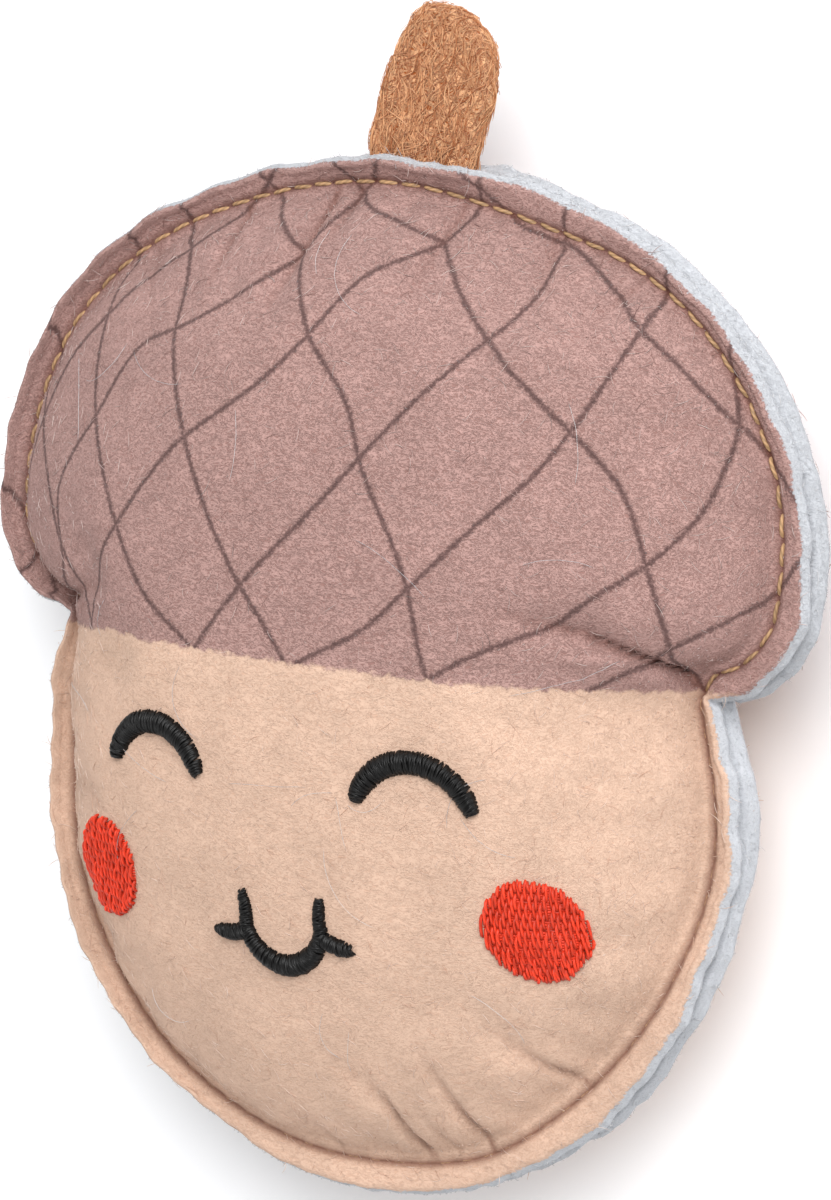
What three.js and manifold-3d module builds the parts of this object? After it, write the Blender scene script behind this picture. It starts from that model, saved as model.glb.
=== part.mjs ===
// Stuffed felt acorn toy: two printed felt panels sewn round a filling of polyester fibre,
// with a felt stem caught in the seam and an embroidered face.
// The toy lies on its back. +Z points out of the face, +X to the viewer's right and +Y to
// the stem. The origin is under the middle of the toy, on the surface it rests on.
// All lengths are in millimetres. All angles are in degrees, clockwise from +Y.

import * as THREE from "three";
import { mergeVertices } from "three/addons/utils/BufferGeometryUtils.js";
import Module from "manifold-3d";

// ---- Driving dimensions ----

const clearance = 0.3; // air between pieces that touch on the real toy
const feltThickness = 2.5;
const seamAllowance = 3.3; // raw felt outside the line of stitching
const faceRise = 20; // crown of the face above the sewn plane
const backDrop = 19.5; // crown of the back below it, before the toy's weight flattens it
const restDepth = 17.5; // the flat spot that the toy lies on, below the sewn plane

// Half of the acorn's outline: three arcs round the cap, the notch, and the nut's circle.
const capTop = 44.2;
const capArcs = [
  { radius: 66.3, end: 26.4, steps: 5 },
  { radius: 34.6, end: 92, steps: 7 },
  { radius: 10.5, end: 172, steps: 6 },
];
const notch = new THREE.Vector2(38.5, -5.2);
const nut = { centreY: -18.1, radius: 41.6, start: 82, steps: 13 };

const hub = new THREE.Vector2(0, -4); // middle of the pillow, where both crowns are
const pillowRings = [1, 0.96, 0.88, 0.76, 0.6, 0.4, 0.2]; // fractions of the way to the seam
const fillingRings = [0.92, 0.86, 0.76, 0.6, 0.4, 0.2];
const fillingEdge = 0.35; // share of its full thickness that the filling has at its rim

const stem = { thickness: 2.8, middleX: 1.5, innerEnd: 38.4, lift: 1.7, parts: 8, meets: 16 };

const threadRadius = 0.25;
const embroideryHeight = 0.8;
const eye = { x: 15.6, y: -18.6, radius: 6.3, halfWidth: 1.15, reach: 72.5, steps: 12 };
const cheek = { halfWidth: 4.7, halfHeight: 5.2, sides: 20 };
const leftCheek = new THREE.Vector2(-25, -28.9);
const rightCheek = new THREE.Vector2(26.4, -28.1);
const mouth = { x: -0.6, y: -30.4, radius: 4.7, halfWidth: 1.05, riser: 2.2, flick: 3.9 };

const sewnPlane = restDepth;

// ---- Outline ----

function pointAt(centre, radius, angle) {
  const a = THREE.MathUtils.degToRad(angle);
  return new THREE.Vector2(centre.x + radius * Math.sin(a), centre.y + radius * Math.cos(a));
}

// The whole outline moved inwards by an inset, clockwise from the top of the cap.
function outline(inset) {
  const half = [];
  let centre = new THREE.Vector2(0, capTop - capArcs[0].radius);
  let start = 0;
  capArcs.forEach((arc, index) => {
    if (index > 0) {
      centre = pointAt(centre, capArcs[index - 1].radius - arc.radius, start);
    }
    for (let i = 0; i < arc.steps; i += 1) {
      const angle = THREE.MathUtils.lerp(start, arc.end, i / arc.steps);
      half.push(pointAt(centre, arc.radius - inset, angle));
    }
    start = arc.end;
  });
  half.push(pointAt(centre, capArcs.at(-1).radius - inset, start));
  half.push(new THREE.Vector2(notch.x - inset / 2, notch.y));
  const nutCentre = new THREE.Vector2(0, nut.centreY);
  for (let i = 0; i <= nut.steps; i += 1) {
    const angle = THREE.MathUtils.lerp(nut.start, 180, i / nut.steps);
    half.push(pointAt(nutCentre, nut.radius - inset, angle));
  }
  const mirrored = half.slice(1, -1).reverse().map((p) => new THREE.Vector2(-p.x, p.y));
  return [...half, ...mirrored];
}

const edgeLine = outline(0);
const seamLine = outline(seamAllowance);

// ---- Pillow shape ----

// The seam's distance from the hub at each of its points, and the same distance averaged
// over its neighbours, which takes the notch out of it.
const seamRadius = seamLine.map((p) => p.distanceTo(hub));
const roundRadius = seamRadius.map((_, index) => {
  const reach = 5;
  let sum = 0;
  for (let i = -reach; i <= reach; i += 1) {
    sum += seamRadius.at((index + i) % seamRadius.length);
  }
  return sum / (2 * reach + 1);
});

// How far out a place in plan is: 0 at the hub, 1 at the seam and beyond it.
// Close to the seam the contours follow it, and further in they are rounder.
function fractionAt(x, y) {
  const place = new THREE.Vector2(x, y).sub(hub);
  for (let i = 0; i < seamLine.length; i += 1) {
    const next = (i + 1) % seamLine.length;
    const a = seamLine[i].clone().sub(hub);
    const b = seamLine[next].clone().sub(hub);
    if (a.cross(place) <= 0 && place.cross(b) < 0) {
      const fraction = Math.min(1, place.cross(b.clone().sub(a)) / a.cross(b));
      const along = a.cross(place) / (a.cross(place) + place.cross(b));
      const round = THREE.MathUtils.lerp(roundRadius[i], roundRadius[next], along);
      const radius = THREE.MathUtils.lerp(round, place.length() / fraction, fraction ** 4);
      return Math.min(1, place.length() / radius);
    }
  }
  return 0;
}

// The section of a well stuffed pillow: 1 at the hub, 0 at the seam and outside it.
function pillow(x, y) {
  return (1 - fractionAt(x, y) ** 2.2) ** 0.75;
}

// The stem parts the two panels where it passes between them.
function stemLift(x, y) {
  const across = 1 - THREE.MathUtils.smoothstep(Math.abs(x - stem.middleX), stem.parts, stem.meets);
  const along = THREE.MathUtils.smoothstep(y, 26, 36);
  return stem.lift * across * along;
}

function faceZ(x, y) {
  return sewnPlane + feltThickness + (faceRise - feltThickness) * pillow(x, y) + stemLift(x, y);
}

function backZ(x, y) {
  const drop = feltThickness + (backDrop - feltThickness) * pillow(x, y) + stemLift(x, y);
  return sewnPlane - Math.min(drop, restDepth);
}

// ---- Closed meshes ----

// A closed mesh from points and triangles, turned so that its faces point outwards.
function closedMesh(points, triangles) {
  let volume = 0;
  for (const [a, b, c] of triangles) {
    volume += points[a].dot(points[b].clone().cross(points[c]));
  }
  const facing = volume < 0 ? triangles.map(([a, b, c]) => [a, c, b]) : triangles;
  const geometry = new THREE.BufferGeometry();
  geometry.setAttribute("position", new THREE.Float32BufferAttribute(points.flatMap((p) => [...p]), 3));
  geometry.setIndex(facing.flat());
  geometry.computeVertexNormals();
  return geometry;
}

// Two quads' worth of triangles for each step between one ring of points and the next.
function joinRings(triangles, first, second, count, loops = true) {
  const steps = loops ? count : count - 1;
  for (let i = 0; i < steps; i += 1) {
    const j = (i + 1) % count;
    triangles.push([first + i, first + j, second + j], [first + i, second + j, second + i]);
  }
}

// One skin of rings closed at its middle point. It returns the index of its outermost ring.
function addSkin(points, triangles, rings, middle) {
  const count = rings[0].length;
  const base = points.length;
  points.push(...rings.flat(), middle);
  const middleIndex = points.length - 1;
  for (let r = 0; r + 1 < rings.length; r += 1) {
    joinRings(triangles, base + r * count, base + (r + 1) * count, count);
  }
  const last = base + (rings.length - 1) * count;
  for (let i = 0; i < count; i += 1) {
    triangles.push([last + i, last + ((i + 1) % count), middleIndex]);
  }
  return base;
}

// A solid between an upper and a lower skin that share the same plan.
function skinSolid(upper, lower, upperMiddle, lowerMiddle) {
  const points = [];
  const triangles = [];
  const top = addSkin(points, triangles, upper, upperMiddle);
  const below = [];
  const bottom = addSkin(points, below, lower, lowerMiddle);
  triangles.push(...below.map(([a, b, c]) => [a, c, b]));
  joinRings(triangles, bottom, top, upper[0].length);
  return closedMesh(points, triangles);
}

// Plan positions of one ring of the pillow, a share of the way from the hub to the seam.
function ringPlan(share) {
  return seamLine.map((p) => hub.clone().lerp(p, share));
}

function placeRing(plan, heightAt) {
  return plan.map((p) => new THREE.Vector3(p.x, p.y, heightAt(p.x, p.y)));
}

// ---- The pieces ----

// A felt panel: its flat raw edge, the seam, and the stuffed dome inside the seam.
function panel(outerZ, inwards) {
  const wall = inwards * (feltThickness - clearance / 2);
  const innerZ = (x, y) => outerZ(x, y) + wall;
  const plans = [edgeLine, ...pillowRings.map(ringPlan)];
  const outer = plans.map((plan) => placeRing(plan, outerZ));
  const inner = plans.map((plan) => placeRing(plan, innerZ));
  return skinSolid(outer, inner, placeRing([hub], outerZ)[0], placeRing([hub], innerZ)[0]);
}

// The fibre filling, clear of both panels' inner faces and thin along its rim.
function filling() {
  const gap = feltThickness + 1.5 * clearance;
  const upperZ = (x, y) => faceZ(x, y) - gap;
  const lowerZ = (x, y) => backZ(x, y) + gap;
  const plans = fillingRings.map(ringPlan);
  const upper = plans.map((plan) => placeRing(plan, upperZ));
  const lower = plans.map((plan) => placeRing(plan, lowerZ));
  for (const point of [...upper[0], ...lower[0]]) {
    point.z = THREE.MathUtils.lerp(sewnPlane, point.z, fillingEdge);
  }
  return skinSolid(upper, lower, placeRing([hub], upperZ)[0], placeRing([hub], lowerZ)[0]);
}

// The stem: a tab of felt that leans to the right and is rounded at its free end.
function stemTab() {
  const shape = new THREE.Shape();
  shape.moveTo(-4.6, stem.innerEnd);
  shape.lineTo(-4.9, 45);
  shape.quadraticCurveTo(-4.1, 51.5, -1, 57.2);
  shape.quadraticCurveTo(0.4, 59.9, 2.6, 59.7);
  shape.lineTo(5.2, 59);
  shape.quadraticCurveTo(8, 57.8, 8.6, 53.8);
  shape.quadraticCurveTo(8.8, 49, 6.6, 44);
  shape.lineTo(6.2, stem.innerEnd);
  const bevel = 0.5;
  const geometry = new THREE.ExtrudeGeometry(shape, {
    depth: stem.thickness - 2 * bevel,
    curveSegments: 5,
    bevelThickness: bevel,
    bevelSize: bevel,
    bevelOffset: -bevel,
    bevelSegments: 1,
  });
  return geometry.translate(0, 0, sewnPlane - stem.thickness / 2 + bevel);
}

// One thread of the lockstitch, all the way round on its own side of the seam.
function seamThread(outerZ, outwards) {
  const sides = 5;
  const route = outline(seamAllowance - 2 * threadRadius);
  const points = [];
  const triangles = [];
  route.forEach((p, i) => {
    const before = route[(i + route.length - 1) % route.length];
    const after = route[(i + 1) % route.length];
    const across = after.clone().sub(before).normalize().rotateAround(new THREE.Vector2(), Math.PI / 2);
    const z = outerZ(p.x, p.y) + outwards * (clearance + threadRadius);
    for (let s = 0; s < sides; s += 1) {
      const a = (s / sides) * 2 * Math.PI;
      const sideways = across.clone().multiplyScalar(threadRadius * Math.cos(a));
      points.push(new THREE.Vector3(p.x + sideways.x, p.y + sideways.y, z + threadRadius * Math.sin(a)));
    }
  });
  for (let i = 0; i < route.length; i += 1) {
    joinRings(triangles, i * sides, ((i + 1) % route.length) * sides, sides);
  }
  return closedMesh(points, triangles);
}

// A column of satin stitch lying on the face: low at its sides and highest along its middle.
function satinColumn(centreLine, halfWidthAt) {
  const profile = [[-1, 0], [-0.9, 0.6], [-0.4, 1], [0.4, 1], [0.9, 0.6], [1, 0]];
  const points = [];
  const triangles = [];
  centreLine.forEach((p, i) => {
    const before = centreLine[Math.max(i - 1, 0)];
    const after = centreLine[Math.min(i + 1, centreLine.length - 1)];
    const across = after.clone().sub(before).normalize().rotateAround(new THREE.Vector2(), Math.PI / 2);
    const halfWidth = halfWidthAt(i / (centreLine.length - 1));
    for (const [side, height] of profile) {
      const x = p.x + across.x * side * halfWidth;
      const y = p.y + across.y * side * halfWidth;
      const z = faceZ(x, y) + clearance + height * embroideryHeight;
      points.push(new THREE.Vector3(x, y, z));
    }
  });
  const count = profile.length;
  const last = (centreLine.length - 1) * count;
  for (let i = 0; i + 1 < centreLine.length; i += 1) {
    joinRings(triangles, i * count, (i + 1) * count, count);
  }
  for (let s = 1; s + 1 < count; s += 1) {
    triangles.push([0, s + 1, s], [last, last + s, last + s + 1]);
  }
  return closedMesh(points, triangles);
}

// Points along an arc in plan, from one angle to another.
function arcLine(centre, radius, from, to, steps) {
  const line = [];
  for (let i = 0; i <= steps; i += 1) {
    line.push(pointAt(centre, radius, THREE.MathUtils.lerp(from, to, i / steps)));
  }
  return line;
}

// Half-width of a column that is full along its run and rounded at both ends.
function roundEnded(halfWidth) {
  return (along) => halfWidth * (0.7 + 0.3 * Math.min(1, 8 * along, 8 * (1 - along)));
}

function eyeArc(side) {
  const centre = new THREE.Vector2(side * eye.x, eye.y);
  const line = arcLine(centre, eye.radius, -eye.reach, eye.reach, eye.steps);
  return satinColumn(line, roundEnded(eye.halfWidth));
}

// A round patch of filling stitches. It tilts with the face, so its plan is an ellipse.
function cheekPatch(middle) {
  const outlineRing = [];
  const raisedRing = [];
  const footRing = [];
  for (let i = 0; i < cheek.sides; i += 1) {
    const a = (i / cheek.sides) * 2 * Math.PI;
    outlineRing.push([Math.sin(a), Math.cos(a)]);
  }
  const place = (across, up, height) => {
    const x = middle.x + across * cheek.halfWidth;
    const y = middle.y + up * cheek.halfHeight;
    return new THREE.Vector3(x, y, faceZ(x, y) + clearance + height);
  };
  for (const [across, up] of outlineRing) {
    footRing.push(place(across, up, 0));
    raisedRing.push(place(0.92 * across, 0.92 * up, embroideryHeight));
  }
  return skinSolid([raisedRing], [footRing], place(0, 0, embroideryHeight), place(0, 0, 0));
}

// The mouth is one figure: a smile with thin risers, and a short flick on either side.
function smileLine() {
  const centre = new THREE.Vector2(mouth.x, mouth.y);
  const bowl = arcLine(centre, mouth.radius, 270, 90, 12);
  const left = new THREE.Vector2(mouth.x - mouth.radius - 0.1, mouth.y + mouth.riser);
  const right = new THREE.Vector2(mouth.x + mouth.radius + 0.1, mouth.y + mouth.riser);
  return [left, ...bowl, right];
}

function flickLine(side) {
  const inner = new THREE.Vector2(mouth.x + side * (mouth.radius - 0.4), mouth.y - 1.4);
  const outer = new THREE.Vector2(mouth.x + side * (mouth.radius + mouth.flick), mouth.y - 2.4);
  return [0, 0.33, 0.67, 1].map((t) => inner.clone().lerp(outer, t));
}

async function mouthFigure() {
  const wasm = await Module();
  wasm.setup();
  const solid = (geometry) => {
    geometry.deleteAttribute("normal");
    const merged = mergeVertices(geometry);
    return new wasm.Manifold(new wasm.Mesh({
      numProp: 3,
      vertProperties: merged.getAttribute("position").array,
      triVerts: new Uint32Array(merged.getIndex().array),
    }));
  };
  const smileWidth = (along) => mouth.halfWidth * (0.6 + 0.4 * Math.sin(Math.PI * along));
  const flickWidth = (along) => 0.75 - 0.1 * along;
  const figure = solid(satinColumn(smileLine(), smileWidth))
    .add(solid(satinColumn(flickLine(-1), flickWidth)))
    .add(solid(satinColumn(flickLine(1), flickWidth)));
  const result = figure.getMesh();
  const geometry = new THREE.BufferGeometry();
  geometry.setAttribute("position", new THREE.BufferAttribute(result.vertProperties, 3));
  geometry.setIndex(new THREE.BufferAttribute(result.triVerts, 1));
  geometry.computeVertexNormals();
  return geometry;
}

// ---- Materials and assembly ----

function material(color, roughness) {
  return new THREE.MeshStandardMaterial({ color, roughness, metalness: 0 });
}

const printedFelt = material(0xd6b9a0, 0.95);
const fibreFilling = material(0xf3f3f0, 1);
const stemFelt = material(0xc1815d, 0.95);
const sewingThread = material(0xb08a55, 0.6);
const blackThread = material(0x363430, 0.45);
const redThread = material(0xda3e31, 0.4);

const acorn = new THREE.Group();

function addPiece(name, geometry, finish) {
  const mesh = new THREE.Mesh(geometry, finish);
  mesh.name = name;
  acorn.add(mesh);
}

addPiece("front_panel", panel(faceZ, -1), printedFelt);
addPiece("back_panel", panel(backZ, 1), printedFelt);
addPiece("filling", filling(), fibreFilling);
addPiece("stem", stemTab(), stemFelt);
addPiece("needle_thread", seamThread(faceZ, 1), sewingThread);
addPiece("bobbin_thread", seamThread(backZ, -1), sewingThread);
addPiece("left_eye", eyeArc(-1), blackThread);
addPiece("right_eye", eyeArc(1), blackThread);
addPiece("mouth", await mouthFigure(), blackThread);
addPiece("left_cheek", cheekPatch(leftCheek), redThread);
addPiece("right_cheek", cheekPatch(rightCheek), redThread);

export default acorn;
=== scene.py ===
"""A stuffed felt acorn toy: printed felt panels, lockstitched edges and an embroidered face.

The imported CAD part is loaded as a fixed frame. The felt panels, the filling, the stem and
every thread are then made around it, in the same frame: +Z out of the face, +Y to the stem.
"""

import math
from functools import partial

import bpy
import numpy as np
from mathutils import Matrix, Vector, geometry
from mathutils.bvhtree import BVHTree


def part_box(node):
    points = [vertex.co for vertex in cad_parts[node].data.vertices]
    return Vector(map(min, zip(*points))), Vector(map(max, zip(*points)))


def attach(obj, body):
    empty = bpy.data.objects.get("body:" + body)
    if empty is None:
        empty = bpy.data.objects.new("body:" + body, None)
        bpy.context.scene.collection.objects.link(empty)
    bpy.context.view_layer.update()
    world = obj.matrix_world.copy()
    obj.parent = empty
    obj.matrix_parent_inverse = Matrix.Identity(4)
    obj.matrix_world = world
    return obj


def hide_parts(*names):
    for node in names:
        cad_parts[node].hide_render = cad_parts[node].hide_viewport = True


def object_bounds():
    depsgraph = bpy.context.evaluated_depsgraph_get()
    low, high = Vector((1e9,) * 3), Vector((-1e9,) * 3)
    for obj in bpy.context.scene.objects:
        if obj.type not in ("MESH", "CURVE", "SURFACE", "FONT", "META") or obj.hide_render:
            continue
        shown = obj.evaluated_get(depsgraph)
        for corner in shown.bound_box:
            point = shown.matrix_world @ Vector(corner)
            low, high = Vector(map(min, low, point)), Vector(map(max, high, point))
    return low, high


bl_info = {
    "name": "Felt Acorn Toy",
    "version": (1, 0, 0),
    "blender": (4, 5, 0),
    "location": "View3D > Sidebar > Felt Acorn",
    "description": "Builds the felt, the filling and the embroidery of a stuffed acorn toy",
    "category": "Object",
}

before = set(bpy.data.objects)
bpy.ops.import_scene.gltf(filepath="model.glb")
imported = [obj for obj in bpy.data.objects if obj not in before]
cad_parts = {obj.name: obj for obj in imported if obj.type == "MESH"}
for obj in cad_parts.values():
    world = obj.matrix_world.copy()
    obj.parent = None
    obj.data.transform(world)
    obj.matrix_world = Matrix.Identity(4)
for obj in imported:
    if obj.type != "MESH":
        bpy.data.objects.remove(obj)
CAD_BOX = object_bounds()

MM = 0.001
FRONT_LOW, FRONT_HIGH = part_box("front_panel")
BACK_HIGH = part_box("back_panel")[1]
FLOOR_Z = CAD_BOX[0][2] / MM
SEWN_PLANE = (FRONT_LOW.z + BACK_HIGH.z) / 2 / MM
CAP_TOP = FRONT_HIGH.y / MM
NUT_BOTTOM = FRONT_LOW.y / MM


# ---- Sizes and colours ----


def rgba(hex_value):
    """An sRGB hex value as linear red, green, blue and alpha."""
    channels = [int(hex_value[i : i + 2], 16) / 255 for i in (0, 2, 4)]
    linear = [c / 12.92 if c <= 0.04045 else ((c + 0.055) / 1.055) ** 2.4 for c in channels]
    return (*linear, 1.0)


def length_setting(name, description, millimetres):
    return bpy.props.FloatProperty(
        name=name, description=description, default=millimetres * MM, min=0, unit="LENGTH"
    )


def colour_setting(name, description, hex_value):
    return bpy.props.FloatVectorProperty(
        name=name, description=description, default=rgba(hex_value), size=4, min=0, max=1,
        subtype="COLOR",
    )


class FeltSettings(bpy.types.PropertyGroup):
    """Sizes of the two felt panels and of the stem."""

    thickness: length_setting("Felt thickness", "Thickness of a panel", 2.5)
    allowance: length_setting("Seam allowance", "Raw felt outside the stitching", 2.3)
    groove: length_setting("Seam groove", "How far the stitches pull the felt in", 0.85)
    stem_thickness: length_setting("Stem thickness", "Thickness of the stem's felt", 2.8)
    fullness: bpy.props.FloatProperty(
        name="Extra cloth", description="Share by which the felt is cut larger than the space it fills",
        default=0.03, subtype="FACTOR",
    )


class ThreadSettings(bpy.types.PropertyGroup):
    """Sizes of the sewing and embroidery threads."""

    stitch_length: length_setting("Stitch length", "Length of one lockstitch", 2.75)
    sewing_width: length_setting("Sewing thread", "Width of the sewing thread", 0.4)
    embroidery_width: length_setting("Embroidery thread", "Width of one strand", 0.28)
    satin_height: length_setting("Satin height", "Height of a column above the felt", 0.85)


class ColourSettings(bpy.types.PropertyGroup):
    """Colours of the felt and the threads."""

    cap: colour_setting("Cap", "Printed mauve brown of the cap", "94716A")
    cap_fleck: colour_setting("Cap fleck", "Paler fibres in the cap", "C5A19A")
    lattice: colour_setting("Lattice", "Printed lines on the cap", "5A4240")
    nut: colour_setting("Nut", "Printed beige of the nut", "CCA892")
    nut_fleck: colour_setting("Nut fleck", "Paler fibres in the nut", "E3C7B2")
    core: colour_setting("Core", "Undyed felt at the cut edges", "B2B4B9")
    core_fleck: colour_setting("Core fleck", "Paler fibres at the cut edges", "CBCDD1")
    stem: colour_setting("Stem", "Brown needle felt of the stem", "A15B2F")
    stem_fleck: colour_setting("Stem fleck", "Pale fibres in the stem", "E7B285")
    sewing: colour_setting("Sewing thread", "Golden tan sewing thread", "B4906A")
    black: colour_setting("Black thread", "Embroidery of the eyes and mouth", "0D0C0C")
    red: colour_setting("Red thread", "Embroidery of the cheeks", "E03F24")
    filling: colour_setting("Filling", "White polyester fibre", "F4F4F2")
    floor: colour_setting("Floor", "Pale studio floor", "FCFDFF")


class ToySettings(bpy.types.PropertyGroup):
    """Everything that can be changed on the toy."""

    felt: bpy.props.PointerProperty(type=FeltSettings)
    threads: bpy.props.PointerProperty(type=ThreadSettings)
    colours: bpy.props.PointerProperty(type=ColourSettings)


def settings():
    return bpy.context.scene.felt_acorn


def mm(length):
    """A setting in metres as a number of mm."""
    return length / MM


# ---- Outline, in mm ----

# Half of the acorn's outline: three arcs round the cap, the notch, and the nut's circle.
# Angles are in degrees, clockwise from +Y, as (radius, angle at the arc's end).
CAP_ARCS = ((66.3, 26.4), (34.6, 92.0), (10.5, 172.0))
NOTCH = (38.5, -5.2)
NUT_RADIUS = 41.6
NUT_START = 82.0
HUB = np.array((0.0, -4.0))
EDGE_STEP = 0.55
CAP_FOOT = -4.6


def on_circle(centre, radius, degrees):
    a = np.radians(degrees)
    return np.stack([centre[0] + radius * np.sin(a), centre[1] + radius * np.cos(a)], -1)


def outline(inset):
    """The outline moved inwards by an inset, clockwise from the top, as an (n, 2) array.

    Every inset gives the same number of points, so that two of them can be joined.
    """
    runs = []
    centre = np.array((0.0, CAP_TOP - CAP_ARCS[0][0]))
    start = 0.0
    previous = CAP_ARCS[0][0]
    for radius, end in CAP_ARCS:
        centre = on_circle(centre, previous - radius, start)
        count = int(radius * math.radians(end - start) / EDGE_STEP)
        runs.append(on_circle(centre, radius - inset, np.linspace(start, end, count, False)))
        start, previous = end, radius
    corner = on_circle(centre, previous - inset, start)
    nut_centre = np.array((0.0, NUT_BOTTOM + NUT_RADIUS))
    notch = np.array((NOTCH[0] - inset / 2, NOTCH[1]))
    below = on_circle(nut_centre, NUT_RADIUS - inset, NUT_START)
    for a, b, count in ((corner, notch, 8), (notch, below, 10)):
        runs.append(a + np.linspace(0, 1, count, False)[:, None] * (b - a))
    count = int(NUT_RADIUS * math.radians(180 - NUT_START) / EDGE_STEP)
    runs.append(on_circle(nut_centre, NUT_RADIUS - inset, np.linspace(NUT_START, 180, count + 1)))
    half = np.vstack(runs)
    whole = np.vstack([half, half[1:-1][::-1] * (-1, 1)])
    return soften(whole, 3)


# How the seam wanders off its even allowance: degrees clockwise from +Y, and mm further in.
SEAM_DRIFT = (
    (0, -0.1), (12, 0.5), (21, 0.9), (32, 0), (45, -0.4), (62, -0.3), (78, 0.4), (86, 0.6),
    (96, 0), (112, -0.2), (130, 0.3), (142, 1.1), (152, 1.0), (162, 0.2), (178, 0.8),
    (190, 0.4), (204, -0.3), (228, -0.4), (250, -0.2), (272, 0.1), (300, -0.3), (335, 0),
)


def seam_line(further=0.0):
    """The stitched line, which keeps roughly one allowance inside the outline."""
    allowance = mm(settings().felt.allowance) + further
    near, far = outline(allowance - 1), outline(allowance + 1)
    turns = np.degrees(np.arctan2(near[:, 0] - HUB[0], near[:, 1] - HUB[1])) % 360
    degrees, drifts = np.array(SEAM_DRIFT).T
    drift = soften(np.interp(turns, degrees, drifts, period=360), 60)
    return near + (far - near) * (0.5 + drift[:, None] / 2)


def soften(loop, passes):
    """Rounds a closed run of points or values by averaging each with its neighbours."""
    for _ in range(passes):
        loop = (np.roll(loop, 1, 0) + 2 * loop + np.roll(loop, -1, 0)) / 4
    return loop


def run_length(loop):
    """Distance along a closed run of points, from its first point to each of the others."""
    steps = np.linalg.norm(np.roll(loop, -1, 0) - loop, axis=1)
    return np.concatenate([[0], np.cumsum(steps)[:-1]]), steps.sum()


def line_reach(line):
    """Distance along an open run of points, from its first point to each of them."""
    return np.concatenate([[0], np.cumsum(np.linalg.norm(np.diff(line, axis=0), axis=1))])


def points_on(line, reach, where):
    """The points of a line at one distance along it, or at several."""
    return np.stack([np.interp(where, reach, line[:, axis]) for axis in (0, 1)], -1)


def ripple(along, total, waves, seed):
    """A smooth random wave round a closed run: waves is a list of (count, height)."""
    draw = np.random.default_rng(seed)
    result = np.zeros_like(along)
    for count, height in waves:
        for shift in (0, 1, 3):
            phase = draw.uniform(0, 2 * math.pi)
            share = draw.uniform(0.4, 1.0)
            result += height * share * np.cos(2 * math.pi * (count + shift) * along / total + phase)
    return result


# ---- The stuffed shape, in mm ----

FACE_RISE = FRONT_HIGH.z / MM - SEWN_PLANE
BACK_DROP = 19.5
STEM_MIDDLE = 1.5
SHOULDER = 0.9


def radius_from_hub(loop, places):
    """The loop's distance from the hub in the direction of each place."""
    arms = loop - HUB
    turns = np.arctan2(arms[:, 0], arms[:, 1])
    order = np.argsort(turns)
    reach = np.linalg.norm(arms, axis=1)[order]
    offsets = places - HUB
    return np.interp(np.arctan2(offsets[:, 0], offsets[:, 1]), turns[order], reach, period=2 * math.pi)


def pillow(places):
    """How full the stuffing is at each place in plan: 1 at the hub, 0 beside the seam."""
    seam = seam_line(SHOULDER)
    rounded = HUB + (seam - HUB) * (
        soften(np.linalg.norm(seam - HUB, axis=1), 2500) / np.linalg.norm(seam - HUB, axis=1)
    )[:, None]
    length = np.linalg.norm(places - HUB, axis=1)
    near = np.clip(length / radius_from_hub(seam, places), 0, 1)
    radius = radius_from_hub(rounded, places)
    radius += (radius_from_hub(seam, places) - radius) * near**4
    return (1 - np.clip(length / radius, 0, 1) ** 2.2) ** 0.75


def smooth_step(value, low, high):
    t = np.clip((value - low) / (high - low), 0, 1)
    return t * t * (3 - 2 * t)


# Folds in the felt, in mm: the points a fold runs through, then its depth and its width. A
# fold is deepest at its first point, and a negative depth is the roll of cloth beside one.
# They run from the notches, from the stem and in from the seam.
FACE_FOLDS = (
    (((37.4, -3.6), (37.0, -1.6), (35.2, -0.6), (32.0, 0.9), (28.8, 1.8), (21.0, 3.4)), 3.2, 0.7),
    (((35.6, -3.0), (31.0, -1.3), (23.0, 0.2)), -1.1, 1.7),
    (((36.0, 3.0), (32.0, 4.5), (27.0, 6.0)), -0.6, 1.8),
    (((-36.8, -3.6), (-31.0, -1.2), (-22.0, 1.0)), 2.0, 1.0),
    (((-33.0, -3.6), (-24.0, -2.6)), -0.5, 1.8),
    (((-7.1, 41.0), (-8.4, 27.0)), 2.6, 0.8),
    (((-4.0, 41.5), (-4.8, 33.5)), 1.7, 0.7),
    (((-18.6, 39.0), (-17.4, 29.0)), 2.5, 0.8),
    (((8.4, 41.0), (7.2, 30.0)), 1.7, 0.9),
    (((18.3, 39.0), (20.3, 31.0)), 1.8, 0.9),
    (((-30.0, 33.5), (-22.0, 24.0)), 0.8, 1.4),
    (((29.0, 34.5), (25.0, 28.0)), 0.8, 1.0),
    (((39.5, 22.0), (33.0, 20.0)), 0.7, 1.0),
    (((9.6, -56.0), (7.1, -48.0), (0.6, -42.6)), 2.2, 0.6),
    (((16.9, -54.4), (15.5, -50.0), (12.6, -41.0)), 2.6, 0.6),
    (((29.6, -45.2), (27.0, -44.4), (22.7, -41.6), (20.0, -39.0)), 2.8, 0.6),
    (((13.0, -55.5), (10.5, -48.0)), 1.1, 0.6),
    (((24.0, -50.5), (24.4, -45.0)), 1.2, 0.6),
    (((-1.0, -57.0), (-3.0, -51.0)), 1.0, 0.7),
    (((-20.0, -51.5), (-15.0, -44.0)), 0.5, 1.0),
    (((-33.0, -40.0), (-27.0, -36.5)), 0.5, 1.2),
)
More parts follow.
